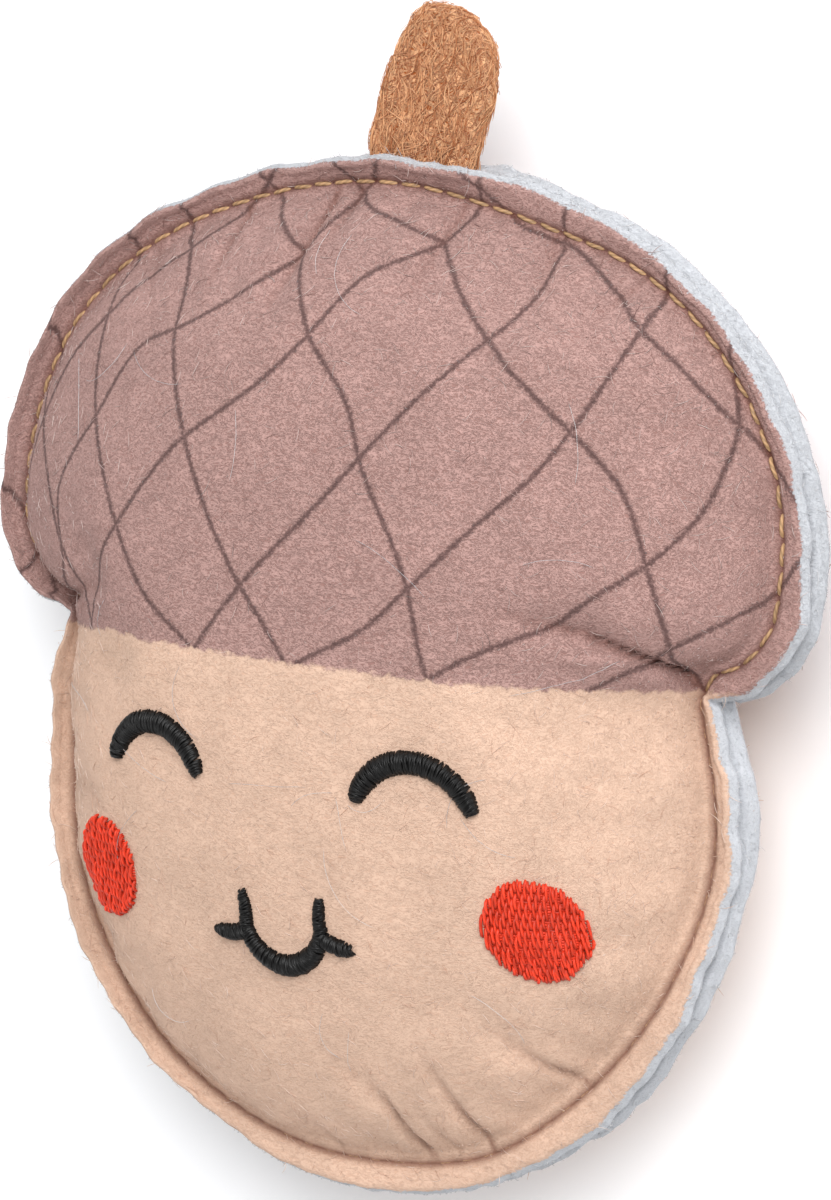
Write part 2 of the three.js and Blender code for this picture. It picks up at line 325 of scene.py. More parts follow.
BACK_FOLDS = (
    (((36.8, -3.6), (21.0, 0.5)), 1.9, 1.2),
    (((-36.8, -3.6), (-19.0, -1.5)), 2.0, 1.2),
    (((4.0, 41.5), (6.0, 29.0)), 0.9, 0.9),
    (((-24.0, 36.0), (-18.0, 27.0)), 0.7, 1.1),
    (((27.0, 35.0), (22.0, 26.0)), 0.7, 1.1),
    (((-12.0, -56.0), (-9.0, -44.0)), 1.1, 0.7),
    (((24.0, -50.0), (17.0, -40.0)), 1.0, 0.7),
    (((3.0, -57.0), (1.0, -48.0)), 0.7, 0.7),
)


def fold_depth(places, folds):
    """How far the folds draw the felt in at each place, and the painted shade along their creases there.
    """
    total, crease_shade = np.zeros(len(places)), np.zeros(len(places))
    for points, depth, width in folds:
        line = even_run(points, 0.5)
        away = np.linalg.norm(places[:, None] - line[None], axis=-1)
        t = away.argmin(1) / (len(line) - 1)
        spread = width * (0.8 + 0.8 * t)
        total += depth * (1 - t) ** 1.2 * np.exp(-((away.min(1) / spread) ** 1.5))
        # Painted shade along the fold's line, darkest near its deep end.
        crease = 0.4 * depth * (1 - t) * np.exp(-((away.min(1) / 0.4) ** 2))
        crease_shade = np.maximum(crease_shade, np.clip(crease, 0, 0.8))
    return total, crease_shade


def stem_lift(places):
    """How far the stem parts the panels, at the edge."""
    across = 1 - smooth_step(np.abs(places[:, 0] - STEM_MIDDLE), 6.5, 15)
    return 1.5 * across * smooth_step(places[:, 1], 30, 44)


# The simulated sheet is ten times as large as the toy, because cloth behaves better so.
CLOTH_SCALE = 10 * MM
CLOTH_FRAMES = 25
CLOTH_GRID = 2.0
HELD_SHARE = 0.995
PUCKER_SIZE = 6.0
PUCKER_SPREAD = 1.1
PUCKER_GAIN = 1.3
PUCKER_LIMIT = 0.9


def swelled_dome(places, rise):
    """Heights of the stuffed felt above its seam at each place, with simulated puckers.

    A sheet with the dome's shape, cut a little too large, is held along the seam and blown
    out as cloth. The extra cloth buckles into the soft puckers that run in from a stuffed
    seam. Only what is narrower than a pucker is kept, so the dome keeps its own height.
    """
    seam = seam_line()[::4]
    xs, ys = np.meshgrid(np.arange(-48, 48, CLOTH_GRID), np.arange(-60, 46, CLOTH_GRID * 0.866))
    xs[1::2] += CLOTH_GRID / 2
    inner = np.stack([xs.ravel(), ys.ravel()], -1)
    share = np.linalg.norm(inner - HUB, axis=1) / radius_from_hub(seam, inner)
    inner = inner[share < 0.972]
    plan = np.vstack([seam, inner])
    loop = [(i, (i + 1) % len(seam)) for i in range(len(seam))]
    found = geometry.delaunay_2d_cdt([Vector(p) for p in plan], loop, [], 1, 1e-5)
    flat = np.array([tuple(v) for v in found[0]])
    heights = pillow(flat) * rise
    sheet = mesh_object("dome", np.column_stack([flat, heights]) * CLOTH_SCALE, found[2])
    held = sheet.vertex_groups.new(name="seam")
    edge_share = np.linalg.norm(flat - HUB, axis=1) / radius_from_hub(seam, flat)
    held.add([int(i) for i in np.nonzero(edge_share > HELD_SHARE)[0]], 1.0, "REPLACE")
    cloth = sheet.modifiers.new("Cloth", "CLOTH")
    for name, value in (
        ("quality", 6), ("mass", 0.4), ("tension_stiffness", 40), ("compression_stiffness", 40),
        ("shear_stiffness", 20), ("bending_stiffness", 1.5), ("tension_damping", 20),
        ("compression_damping", 20), ("shrink_min", -settings().felt.fullness),
        ("vertex_group_mass", "seam"), ("use_pressure", True), ("uniform_pressure_force", 3.0),
    ):
        setattr(cloth.settings, name, value)
    cloth.settings.effector_weights.gravity = 0
    cloth.collision_settings.use_collision = False
    scene = bpy.context.scene
    scene.frame_start = 1
    for number in range(1, CLOTH_FRAMES + 1):
        scene.frame_set(number)
    ready = sheet.evaluated_get(bpy.context.evaluated_depsgraph_get())
    blown = np.array([tuple(v.co) for v in ready.data.vertices]) / CLOTH_SCALE
    scene.frame_set(1)
    bpy.data.objects.remove(sheet)
    plan, change = blown[:, :2], blown[:, 2] - pillow(blown[:, :2]) * rise
    near = np.exp(-((plan[:, None] - plan[None]) ** 2).sum(-1) / (2 * PUCKER_SIZE**2))
    change -= (near * change).sum(1) / near.sum(1)
    change = np.clip(change * PUCKER_GAIN, -PUCKER_LIMIT, PUCKER_LIMIT)
    result = np.zeros(len(places))
    for part in np.array_split(np.arange(len(places)), 40):
        weight = ((places[part][:, None] - plan[None]) ** 2).sum(-1)
        weight = np.exp(-weight / (2 * PUCKER_SPREAD**2)) + 1e-12
        result[part] = (weight * change).sum(1) / weight.sum(1)
    return np.maximum(pillow(places) * rise + result, 0)


# ---- Materials ----


def add_node(tree, kind, inputs=None, **options):
    """Adds a shader node, sets its options, and sets or links its inputs by name or by place.

    An input's value is a number, a colour, another node (for its first output) or a socket.
    """
    node = tree.nodes.new(f"ShaderNode{kind}")
    for option, value in options.items():
        setattr(node, option, value)
    usable = [socket for socket in node.inputs if socket.enabled]
    for key, value in (inputs or {}).items():
        if isinstance(key, int):
            socket = usable[key]
        else:
            socket = next(s for s in usable if s.name == key)
        if isinstance(value, bpy.types.Node):
            value = next(s for s in value.outputs if s.enabled)
        if isinstance(value, bpy.types.NodeSocket):
            tree.links.new(value, socket)
        else:
            socket.default_value = value
    return node


def make_material(name, describe):
    """The node material of that name, made once and then shared.

    describe(node) returns the inputs of its shader, and node(kind, inputs, ...) adds a node.
    """
    made = bpy.data.materials.get(name)
    if made is None:
        made = bpy.data.materials.new(name)
        made.use_nodes = True
        made.node_tree.nodes.clear()
        node = partial(add_node, made.node_tree)
        skin = node("BsdfPrincipled", describe(node))
        node("OutputMaterial", {"Surface": skin})
    return made


FIBRE_TURNS = (14, 62, 108, 156)
FIBRE_CURL = (0.9, 0.9, 0.9)
FIBRE_SHARE = 0.07


def felt_strands(node, place, fine, long):
    """Fibres lying every way: 1 along the middles of the topmost ones, 0 between them.

    fine is the distance between fibres and long their length, in mm. Each layer is the line
    where a stretched noise crosses its middle value, bent so that the fibres curl.
    """
    bend = node("TexNoise", {"Vector": place, "Scale": 0.8, "Detail": 1.0}).outputs["Color"]
    bent = node("VectorMath", {0: bend, 1: FIBRE_CURL, 2: place}, operation="MULTIPLY_ADD")
    total = None
    for layer, turn in enumerate(FIBRE_TURNS):
        laid = {
            "Vector": bent, "Location": (layer * 7.3, layer * 3.1, layer * 5.7),
            "Rotation": (0, 0, math.radians(turn)), "Scale": (1 / long, 1 / fine, 1 / fine),
        }
        noise = node("TexNoise", {"Vector": node("Mapping", laid), "Scale": 1.0, "Detail": 1.0})
        away = node("Math", {0: noise, 1: 0.5}, operation="SUBTRACT")
        away = node("Math", {0: away}, operation="ABSOLUTE")
        ends = {"From Min": 0.0, "From Max": FIBRE_SHARE, "To Min": 1.0, "To Max": 0.0}
        strand = node("MapRange", {"Value": away, **ends}, interpolation_type="SMOOTHSTEP")
        if total is not None:
            strand = node("Math", {0: total, 1: strand}, operation="MAXIMUM")
        total = strand
    return total


def object_mm(node):
    """The place on the piece, in mm."""
    where = node("TexCoord").outputs["Object"]
    return node("VectorMath", {"Vector": where, "Scale": 1 / MM}, operation="SCALE")


def stored(node, name):
    """The three numbers of a point attribute, as sockets."""
    values = node("Attribute", attribute_name=name).outputs["Vector"]
    return node("SeparateXYZ", {0: values}).outputs


def printed_colour(node, place, strands):
    """The felt's printed colour: cap and lattice above, nut below, undyed at the cut edges, with painted
    shade in the seam groove and the fold creases.

    It returns the colour, the share of cap and the share of print. The print ends at the cap's
    foot in a ragged line, which dips a little at the left.
    """
    colours = settings().colours
    axes = node("SeparateXYZ", {0: place}).outputs
    lattice, pitch = stored(node, "lattice"), stored(node, "lattice_pitch_and_shade")
    ragged = node("TexNoise", {"Vector": place, "Scale": 1.1, "Detail": 3.0})
    ragged = node("Math", {0: ragged, 1: 0.5}, operation="SUBTRACT")
    ends = {"From Min": -38, "From Max": -24, "To Min": 1.9, "To Max": 0}
    dip = node("MapRange", {"Value": axes[0], **ends})
    height = node("Math", {0: axes[1], 1: dip}, operation="ADD")
    height = node("Math", {0: ragged, 1: 1.6, 2: height}, operation="MULTIPLY_ADD")
    ends = {"From Min": -4.4, "From Max": -3.9}
    on_cap = node("MapRange", {"Value": height, **ends}, interpolation_type="SMOOTHSTEP")
    tones = []
    for ground, fleck, amount in (
        (colours.cap, colours.cap_fleck, 0.6), (colours.nut, colours.nut_fleck, 0.4),
        (colours.core, colours.core_fleck, 0.6),
    ):
        shade = node("Math", {0: strands, 1: amount}, operation="MULTIPLY")
        tones.append(node("Mix", {0: shade, 1: tuple(ground), 2: tuple(fleck)}, data_type="RGBA"))
    felt = node("Mix", {0: on_cap, 1: tones[1], 2: tones[0]}, data_type="RGBA")
    nearest = None
    for axis in (0, 1):
        away = node("Math", {0: lattice[axis], 1: 0.5}, operation="PINGPONG")
        away = node("Math", {0: away, 1: pitch[axis]}, operation="MULTIPLY")
        if nearest is not None:
            away = node("Math", {0: nearest, 1: away}, operation="MINIMUM")
        nearest = away
    frayed = node("TexNoise", {"Vector": place, "Scale": 3.2, "Detail": 2.0})
    frayed = node("Math", {0: frayed, 1: 0.5}, operation="SUBTRACT")
    nearest = node("Math", {0: frayed, 1: 0.8, 2: nearest}, operation="MULTIPLY_ADD")
    ends = {"From Min": 0.02, "From Max": 0.52, "To Min": 0.85, "To Max": 0}
    line = node("MapRange", {"Value": nearest, **ends}, interpolation_type="SMOOTHSTEP")
    line = node("Math", {0: line, 1: on_cap}, operation="MULTIPLY")
    felt = node("Mix", {0: line, 1: felt, 2: tuple(colours.lattice)}, data_type="RGBA")
    mottle = node("TexNoise", {"Vector": place, "Scale": 0.16, "Detail": 4.0})
    ends = {"From Min": 0.35, "From Max": 0.65, "To Min": 0.94, "To Max": 1.05}
    blotch = node("MapRange", {"Value": mottle, **ends})
    felt = node("VectorMath", {0: felt, "Scale": blotch}, operation="SCALE")
    # Painted shade in the seam groove and the fold creases, a little weaker on the cap: the felt is
    # mixed towards a dark warm brown.
    darker = node("Math", {0: on_cap, 1: -0.05, 2: 0.8}, operation="MULTIPLY_ADD")
    painted_shade = node("Math", {0: pitch[2], 1: darker}, operation="MULTIPLY")
    felt = node("Mix", {0: painted_shade, 1: felt, 2: rgba("6A3A2A")}, data_type="RGBA")
    printed = node("Math", {0: frayed, 1: 1.5, 2: lattice[2]}, operation="MULTIPLY_ADD")
    ends = {"From Min": 0.25, "From Max": 0.75}
    printed = node("MapRange", {"Value": printed, **ends}, interpolation_type="SMOOTHSTEP")
    colour = node("Mix", {0: printed, 1: tones[2], 2: felt}, data_type="RGBA")
    return colour, on_cap, printed


def printed_felt(node):
    """Polyester felt, needled and printed on one face.

    It is matt, with pale curved fibres lying every way over a slightly darker ground, and a
    faint bloom at grazing angles. Real fibres are 0.02 mm wide: they are drawn at 0.15 mm.
    """
    place = object_mm(node)
    strands = felt_strands(node, place, 0.27, 1.0)
    colour, on_cap, printed = printed_colour(node, place, strands)
    relief = node("Math", {0: on_cap, 1: 0.5, 2: 0.5}, operation="MULTIPLY_ADD")
    share = node("Math", {0: printed, 1: 0.3, 2: 0.7}, operation="MULTIPLY_ADD")
    relief = node("Math", {0: relief, 1: share}, operation="MULTIPLY")
    relief = node("Math", {0: relief, 1: strands}, operation="MULTIPLY")
    lumps = node("TexNoise", {"Vector": place, "Scale": 0.55, "Detail": 4.0})
    swell = node("Math", {0: printed, 1: 1.5, 2: 0.7}, operation="MULTIPLY_ADD")
    rough = node("Math", {0: lumps, 1: swell, 2: relief}, operation="MULTIPLY_ADD")
    return {
        "Base Color": colour, "Roughness": 0.95, "Specular IOR Level": 0.15, "Sheen Weight": 0.04,
        "Sheen Roughness": 0.5,
        "Normal": node("Bump", {"Strength": 0.75, "Distance": 0.0001, "Height": rough}),
    }


def nap_felt(node):
    """The loose polyester fibres that stand out of the felt, in its own colours but paler."""
    tint = stored(node, "thread")[2]
    colour = printed_colour(node, object_mm(node), tint)[0]
    paler = node("Math", {0: tint, 1: 0.42}, operation="MULTIPLY")
    colour = node("Mix", {0: paler, 1: colour, 2: (0.9, 0.84, 0.8, 1)}, data_type="RGBA")
    return {"Base Color": colour, "Roughness": 0.8, "Specular IOR Level": 0.2}


def needle_felt(node, loose):
    """Coarse brown needle felt: long fibres of mixed browns, with darker hollows between."""
    colours = settings().colours
    if loose:
        strands = stored(node, "thread")[2]
    else:
        strands = felt_strands(node, object_mm(node), 0.5, 2.2)
    browns = {1: tuple(colours.stem), 2: tuple(colours.stem_fleck)}
    return {
        "Base Color": node("Mix", {0: strands, **browns}, data_type="RGBA"), "Roughness": 0.9,
        "Specular IOR Level": 0.2, "Sheen Weight": 0.15,
        "Normal": node("Bump", {"Strength": 0.8, "Distance": 0.0002, "Height": strands}),
    }


PLIES = 2


def spun_thread(node, colour, roughness, lay):
    """Polyester thread of two twisted plies, with fine streaks and a soft gloss.

    lay is the length of one turn of the plies, in mm.
    """
    where = stored(node, "thread")
    turns = node("Math", {0: where[0], 1: 1 / lay}, operation="MULTIPLY")
    turns = node("Math", {0: where[1], 1: PLIES, 2: turns}, operation="MULTIPLY_ADD")
    turns = node("Math", {0: turns, 1: 2 * math.pi}, operation="MULTIPLY")
    ply = node("Math", {0: turns}, operation="SINE")
    streak_at = {
        axis: node("Math", {0: where[axis], 1: times}, operation="MULTIPLY")
        for axis, times in enumerate((0.9, 14.0, 60.0))
    }
    streak_at = node("CombineXYZ", streak_at)
    streak = node("TexNoise", {"Vector": streak_at, "Scale": 1.0, "Detail": 2.0})
    height = node("Math", {0: ply, 1: 0.5, 2: streak}, operation="MULTIPLY_ADD")
    # The colour follows the same height as the bump: darker in the hollows between the plies, which is
    # painted shade, and in the darker streaks, which are the thread's own tone.
    ends = {"From Min": 0.0, "From Max": 1.0, "To Min": 0.72, "To Max": 1.12}
    shade = node("MapRange", {"Value": height, **ends})
    tint = node("MapRange", {"Value": where[2], "To Min": 0.78, "To Max": 1.16})
    shade = node("Math", {0: shade, 1: tint}, operation="MULTIPLY")
    return {
        "Base Color": node("VectorMath", {0: tuple(colour)[:3], "Scale": shade}, operation="SCALE"),
        "Roughness": roughness, "Specular IOR Level": 0.3,
        "Normal": node("Bump", {"Strength": 0.6, "Distance": 0.00006, "Height": height}),
    }


def fibre_wadding(node):
    """Polyester fibre filling: white, soft and matt, with tangled strands."""
    strands = felt_strands(node, object_mm(node), 0.8, 4.0)
    return {
        "Base Color": tuple(settings().colours.filling), "Roughness": 1.0, "Specular IOR Level": 0.1,
        "Normal": node("Bump", {"Strength": 0.8, "Distance": 0.0004, "Height": strands}),
    }


def matt_paint(node):
    """A plain floor in matt white paint, with a very slight unevenness."""
    place = node("TexCoord").outputs["Object"]
    uneven = node("TexNoise", {"Vector": place, "Scale": 3.0, "Detail": 2.0})
    return {
        "Base Color": tuple(settings().colours.floor), "Roughness": 0.9, "Specular IOR Level": 0.1,
        "Normal": node("Bump", {"Strength": 0.02, "Distance": 0.001, "Height": uneven}),
    }


# ---- Meshes ----


def mesh_object(name, points, faces):
    """A new object at the origin, with smooth faces, from points in metres."""
    mesh = bpy.data.meshes.new(name)
    mesh.from_pydata([tuple(p) for p in points], [], [tuple(f) for f in faces])
    mesh.update()
    mesh.shade_smooth()
    made = bpy.data.objects.new(name, mesh)
    bpy.context.scene.collection.objects.link(made)
    return made


def point_attribute(target, name, values):
    """Stores one number or three for each of the mesh's points, for its material to read."""
    kind, key = ("FLOAT", "value") if values.ndim == 1 else ("FLOAT_VECTOR", "vector")
    layer = target.data.attributes.new(name, kind, "POINT")
    layer.data.foreach_set(key, np.ascontiguousarray(values, np.float32).ravel())


def ring_faces(ring_count, ring_size, first=0):
    """Quads between rings that follow each other in the list of points."""
    index = np.arange(ring_count * ring_size).reshape(ring_count, ring_size) + first
    ahead = np.roll(index, -1, 1)
    quads = np.stack([index[:-1], ahead[:-1], ahead[1:], index[1:]], -1)
    return quads.reshape(-1, 4)


def closed_rings(name, rings, poles):
    """A closed skin from rings, each (n, 3) in mm, with a pole at its first and last ring."""
    size = len(rings[0])
    points = np.vstack([*rings, poles]) * MM
    quads = ring_faces(len(rings), size)
    turn = np.arange(size)
    start = np.stack([np.roll(turn, -1), turn, np.full(size, len(points) - 2)], -1)
    last = turn + size * (len(rings) - 1)
    end = np.stack([last, np.roll(last, -1), np.full(size, len(points) - 1)], -1)
    faces = [*quads.tolist(), *start.tolist(), *end.tolist()]
    a, b, c = (points[quads[:, k]] for k in (0, 1, 2))
    if np.einsum("ij,ij->i", a, np.cross(b, c)).sum() < 0:
        faces = [face[::-1] for face in faces]
    return mesh_object(name, points, faces)


# ---- Felt panels ----

DOME_SHARES = np.concatenate([np.linspace(0.03, 0.86, 30), np.linspace(0.872, 1, 16)])
FLANGE_SHARES = np.array((0.1, 0.2, 0.3, 0.4, 0.5, 0.6))
CORNER_TURNS = np.radians((0, 25, 50, 70, 90))
CORNER_RADIUS = 0.7
WALL_SHARES = np.array((0.25, 0.5, 0.75))

# The printed lattice, drawn as lines rising and lines falling to the right, each as a few
# points on the cap in mm.
RISING_LINES = {
    -2: ((30, -4.6), (38, 0.4), (46, 6.4)),
    -1: ((17.2, -4.1), (28, 1.9), (36.3, 8.4), (40.5, 14.4), (41.3, 21.7), (39.5, 28)),
    0: ((2, -4.6), (10, -0.1), (14.5, 4.4), (21, 11.4), (28, 20.4), (31.5, 30), (32, 35.4)),
    1: ((-10.4, -4.4), (-4.8, 2.6), (7.3, 16.1), (17.5, 28.2), (20.2, 33), (19.5, 39.4)),
    2: ((-27, -1.1), (-22.5, 6.7), (-14.7, 16.2), (-1.8, 27.2), (2, 32.9), (8.5, 37), (10, 40.4)),
    3: (
        (-33, 1.5), (-34.5, 8.4), (-29.2, 16.6), (-24.5, 24.4), (-20, 26.2), (-7.3, 34.6),
        (-4, 40.4),
    ),
    4: ((-40.5, 16), (-37, 21.9), (-32, 26.8), (-23, 34), (-18.5, 38.5)),
}
FALLING_LINES = {
    -1: ((-41, 15.4), (-36.5, 8.4), (-32, 1.4)),
    0: ((-33.2, 36), (-32.3, 26), (-29.2, 16.6), (-22.5, 6.7), (-17, 0), (-10.3, -4.4)),
    1: ((-26, 35.2), (-23, 34), (-20, 26.2), (-14.7, 16.2), (-9, 7.9), (-4.8, 2.6), (1.5, -4.6)),
    2: ((-15, 39.9), (-7.3, 34.6), (-1.8, 27.2), (5, 20.9), (7.3, 16.1), (14.5, 4.4), (17.2, -4)),
    3: (
        (-3, 40.2), (8.5, 36.5), (17.5, 28.2), (28, 20.4), (33, 15.9), (36.2, 8.4), (38.2, 1.3),
        (37.6, -2.7),
    ),
    4: ((14, 39), (20.5, 37.2), (31.5, 30), (41.3, 21.7), (46, 16.9)),
}


def line_number(lines, places):
    """A smooth number over the plan that takes each line's own number along that line.

    It returns the number at each place, and its slope in plan per mm.
    """
    points = np.array([p for line in lines.values() for p in line], float)
    values = np.array([number for number, line in lines.items() for _ in line], float)

    def bend(a, b):
        square = ((a[:, None] - b[None]) ** 2).sum(-1) + 1e-9
        return square * np.log(square)

    count = len(points)
    system = np.zeros((count + 3, count + 3))
    system[:count, :count] = bend(points, points) + 5.0 * np.eye(count)
    system[:count, count:] = np.column_stack([np.ones(count), points])
    system[count:, :count] = system[:count, count:].T
    weights = np.linalg.solve(system, np.concatenate([values, np.zeros(3)]))

    def number_at(where):
        plane = np.column_stack([np.ones(len(where)), where])
        return bend(where, points) @ weights[:count] + plane @ weights[count:]

    here = number_at(places)
    step = 0.2
    slope = [(number_at(places + shift) - here) / step for shift in ((step, 0), (0, step))]
    return here, np.column_stack([*slope, np.zeros(len(here))])


def line_pitch(slope, normals):
    """How many mm apart the lines are, measured over the felt and not in plan."""
    slope = slope - normals * (slope * normals).sum(1, keepdims=True)
    return 1 / np.maximum(np.linalg.norm(slope, axis=1), 0.02)


# The two panels' inner faces keep this far from the sewn plane at the seam.
SEAM_GAP = 0.1


def panel_rings(sign, folds, seed):
    """The rings of one panel, from the middle of its printed face round its edge and back in.

    With them come the share of print, the painted shade of the seam groove and the fold creases
    at each point, and how many faces are on the outside. sign is 1 for the front and -1 for the back.
    Heights are counted out from the sewn plane.
    """
    felt = settings().felt
    thickness, groove_depth = mm(felt.thickness), mm(felt.groove)
    seam, edge = seam_line(), outline(0)
    along, total = run_length(seam)
    arms = np.linalg.norm(seam - HUB, axis=1)
    reach = np.linalg.norm(edge - seam, axis=1)[:, None]
    outward = soften((edge - seam) / reach, 4)
    edge = edge + outward * ripple(along, total, ((19, 0.12), (41, 0.1), (90, 0.06)), seed)[:, None]
    rim_wave = ripple(along, total, ((2, 0.35), (7, 0.22), (13, 0.1)), 5)
    splay = 0.12 + np.abs(ripple(along, total, ((5, 0.1), (17, 0.1)), seed + 1))
    if sign > 0:
        splay += 1.3 * smooth_step(-seam[:, 0], 14, 32)
    pitch = total / round(total / mm(settings().threads.stitch_length))
    stitch = 0.82 + 0.18 * np.cos(2 * math.pi * along / pitch)
    size = len(seam)
    rings, prints, painted_shade = [], [], []

    def groove(distance):
        crease = 0.65 * np.exp(-((distance / 0.4) ** 2)) * stitch
        return groove_depth * (crease + 0.28 * np.exp(-((distance / 1.1) ** 2)))

    # Painted shade along the seam groove, strongest at the stitch line.
    def seam_shade(distance):
        return np.exp(-((distance / 0.4) ** 2))

    def add_ring(ring, printed, shade_share=0.0):
        rings.append(ring)
        prints.append(printed)
        painted_shade.append(np.broadcast_to(shade_share, size))

    def level_ring(plan, height, wave=rim_wave):
        return np.column_stack([plan, height * sign + wave])

    dome_plan = np.vstack([HUB + (seam - HUB) * share for share in DOME_SHARES])
    rise = (FACE_RISE if sign > 0 else BACK_DROP) - thickness
    dome = swelled_dome(dome_plan, rise)
    drawn_in, crease_shade = fold_depth(dome_plan, folds)
    dome = dome - np.minimum(drawn_in, 0.75 * dome)
    for k, share in enumerate(DOME_SHARES):
        part = slice(k * size, (k + 1) * size)
        plan = dome_plan[part]
        distance = (1 - share) * arms
        lift = stem_lift(plan) * 0.4 * smooth_step(share, 0.8, 1)
        height = SEAM_GAP + thickness + dome[part] - groove(distance) + lift
        ring = level_ring(plan, height, rim_wave * smooth_step(share, 0.55, 1))
        # Painted shade of the seam groove or of a fold crease, whichever is stronger.
        add_ring(ring, 1.0, np.maximum(seam_shade(distance), crease_shade[part]))
    level = {}
    for share in (*FLANGE_SHARES, 1.0):
        plan = seam + (edge - seam) * share
        lift = stem_lift(plan) * (0.4 + 0.6 * share) + splay * share**2
        level[share] = (plan, SEAM_GAP + lift)
    for share in FLANGE_SHARES:
        plan, low = level[share]
        distance = share * reach[:, 0]
        # Painted shade along the seam groove on the flange too.
        add_ring(level_ring(plan, low + thickness - groove(distance)), 1.0, seam_shade(distance))
    plan, low = level[1.0]
    top = low + thickness
    for turn in CORNER_TURNS:
        place = plan - outward * CORNER_RADIUS * (1 - math.sin(turn))
        height = top - CORNER_RADIUS * (1 - math.cos(turn))
        add_ring(level_ring(place, height), 1 - smooth_step(math.degrees(turn), 25, 85))
    uneven = ripple(along, total, ((60, 0.03), (110, 0.04)), seed + 7)[:, None]
    for share in WALL_SHARES:
        bulge = (0.3 + uneven) * math.sin(math.pi * share)
        height = top - CORNER_RADIUS - share * (thickness - 2 * CORNER_RADIUS)
        add_ring(level_ring(plan + outward * bulge, height), 0.0)
    for turn in CORNER_TURNS[::-1]:
        place = plan - outward * CORNER_RADIUS * (1 - math.sin(turn))
        height = low + CORNER_RADIUS * (1 - math.cos(turn))
        add_ring(level_ring(place, height), 0.0)
    outer_faces = (len(rings) - 1) * size
    for share in FLANGE_SHARES[::-2]:
        add_ring(level_ring(*level[share]), 0.0)
    outer = np.stack(rings[: len(DOME_SHARES)])
    normals = grid_normals(outer) * sign
    for k in range(len(DOME_SHARES) - 1, -1, -2):
        inner = outer[k] - normals[k] * thickness
        least = (SEAM_GAP + 0.4 * stem_lift(inner[:, :2])) * sign + rim_wave
        inner[:, 2] = np.maximum(inner[:, 2], least) if sign > 0 else np.minimum(inner[:, 2], least)
        add_ring(inner, 0.0)
    for ring in rings:
        ring[:, 2] = np.maximum(ring[:, 2] + SEWN_PLANE, FLOOR_Z)
    return rings, np.repeat(prints, size), np.concatenate(painted_shade), outer_faces


def grid_normals(grid):
    """Unit normals of a grid of rings, pointing up on a front panel's dome."""
    round_way = np.roll(grid, -1, 1) - np.roll(grid, 1, 1)
    out_way = np.gradient(grid, axis=0)
    normals = np.cross(round_way, out_way)
    normals *= np.sign(normals[..., 2:3].mean())
    return normals / np.maximum(np.linalg.norm(normals, axis=-1, keepdims=True), 1e-9)


def build_panel(name, node, sign, folds, seed):
    """One felt panel with its nap, made as a closed skin."""
    rings, prints, painted_shade, outer_faces = panel_rings(sign, folds, seed)
    poles = [rings[0].mean(0), rings[-1].mean(0)]
    panel = closed_rings(name, rings, poles)
    places = np.vstack([*rings, poles])[:, :2]
    prints = np.concatenate([prints, [1.0, 0.0]])
    painted_shade = np.concatenate([painted_shade, [0.0, 0.0]])
    normals = vertex_values(panel)[1]
    rising, rising_slope = line_number(RISING_LINES, places)
    falling, falling_slope = line_number(FALLING_LINES, places)
    pitches = [line_pitch(slope, normals) for slope in (rising_slope, falling_slope)]
    point_attribute(panel, "lattice", np.column_stack([rising, falling, prints]))
    # The lattice's pitches, and the painted shade of the seam groove and the fold creases.
    point_attribute(panel, "lattice_pitch_and_shade", np.column_stack([*pitches, painted_shade]))
    panel.data.materials.append(make_material("Printed polyester felt", printed_felt))
    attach(panel, "root")
    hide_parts(node)
    loose = panel_nap(name + "_nap", panel, outer_faces, FRONT_FIBRES if sign > 0 else BACK_FIBRES, seed)
    return panel


# ---- Threads and fibres ----


STRAND_STEPS = 8


def thread_template(name, sides, steps, taper):
    """A short straight thread along +Z, one unit long and two wide, drawn out ring by ring.

    It returns its points and faces. Its ends are narrowed to the taper's share.
    """
    bpy.ops.object.select_all(action="DESELECT")
    bpy.ops.mesh.primitive_circle_add(vertices=sides, radius=taper, fill_type="NGON")
    made = bpy.context.object
    made.name = name
    bpy.ops.object.mode_set(mode="EDIT")
    bpy.ops.mesh.select_all(action="SELECT")
    widths = [1.0 if 0 < k < steps else taper for k in range(steps + 1)]
    for k in range(1, steps + 1):
        bpy.ops.mesh.extrude_region_move(TRANSFORM_OT_translate={"value": (0, 0, 1 / steps)})
        change = widths[k] / widths[k - 1]
        bpy.ops.transform.resize(value=(change, change, 1), center_override=(0, 0, k / steps))
    bpy.ops.mesh.select_all(action="SELECT")
    bpy.ops.mesh.normals_make_consistent(inside=False)
    bpy.ops.object.mode_set(mode="OBJECT")
    points = np.array([tuple(v.co) for v in made.data.vertices])
    faces = [tuple(face.vertices) for face in made.data.polygons]
    bpy.data.objects.remove(made)
    return points, faces


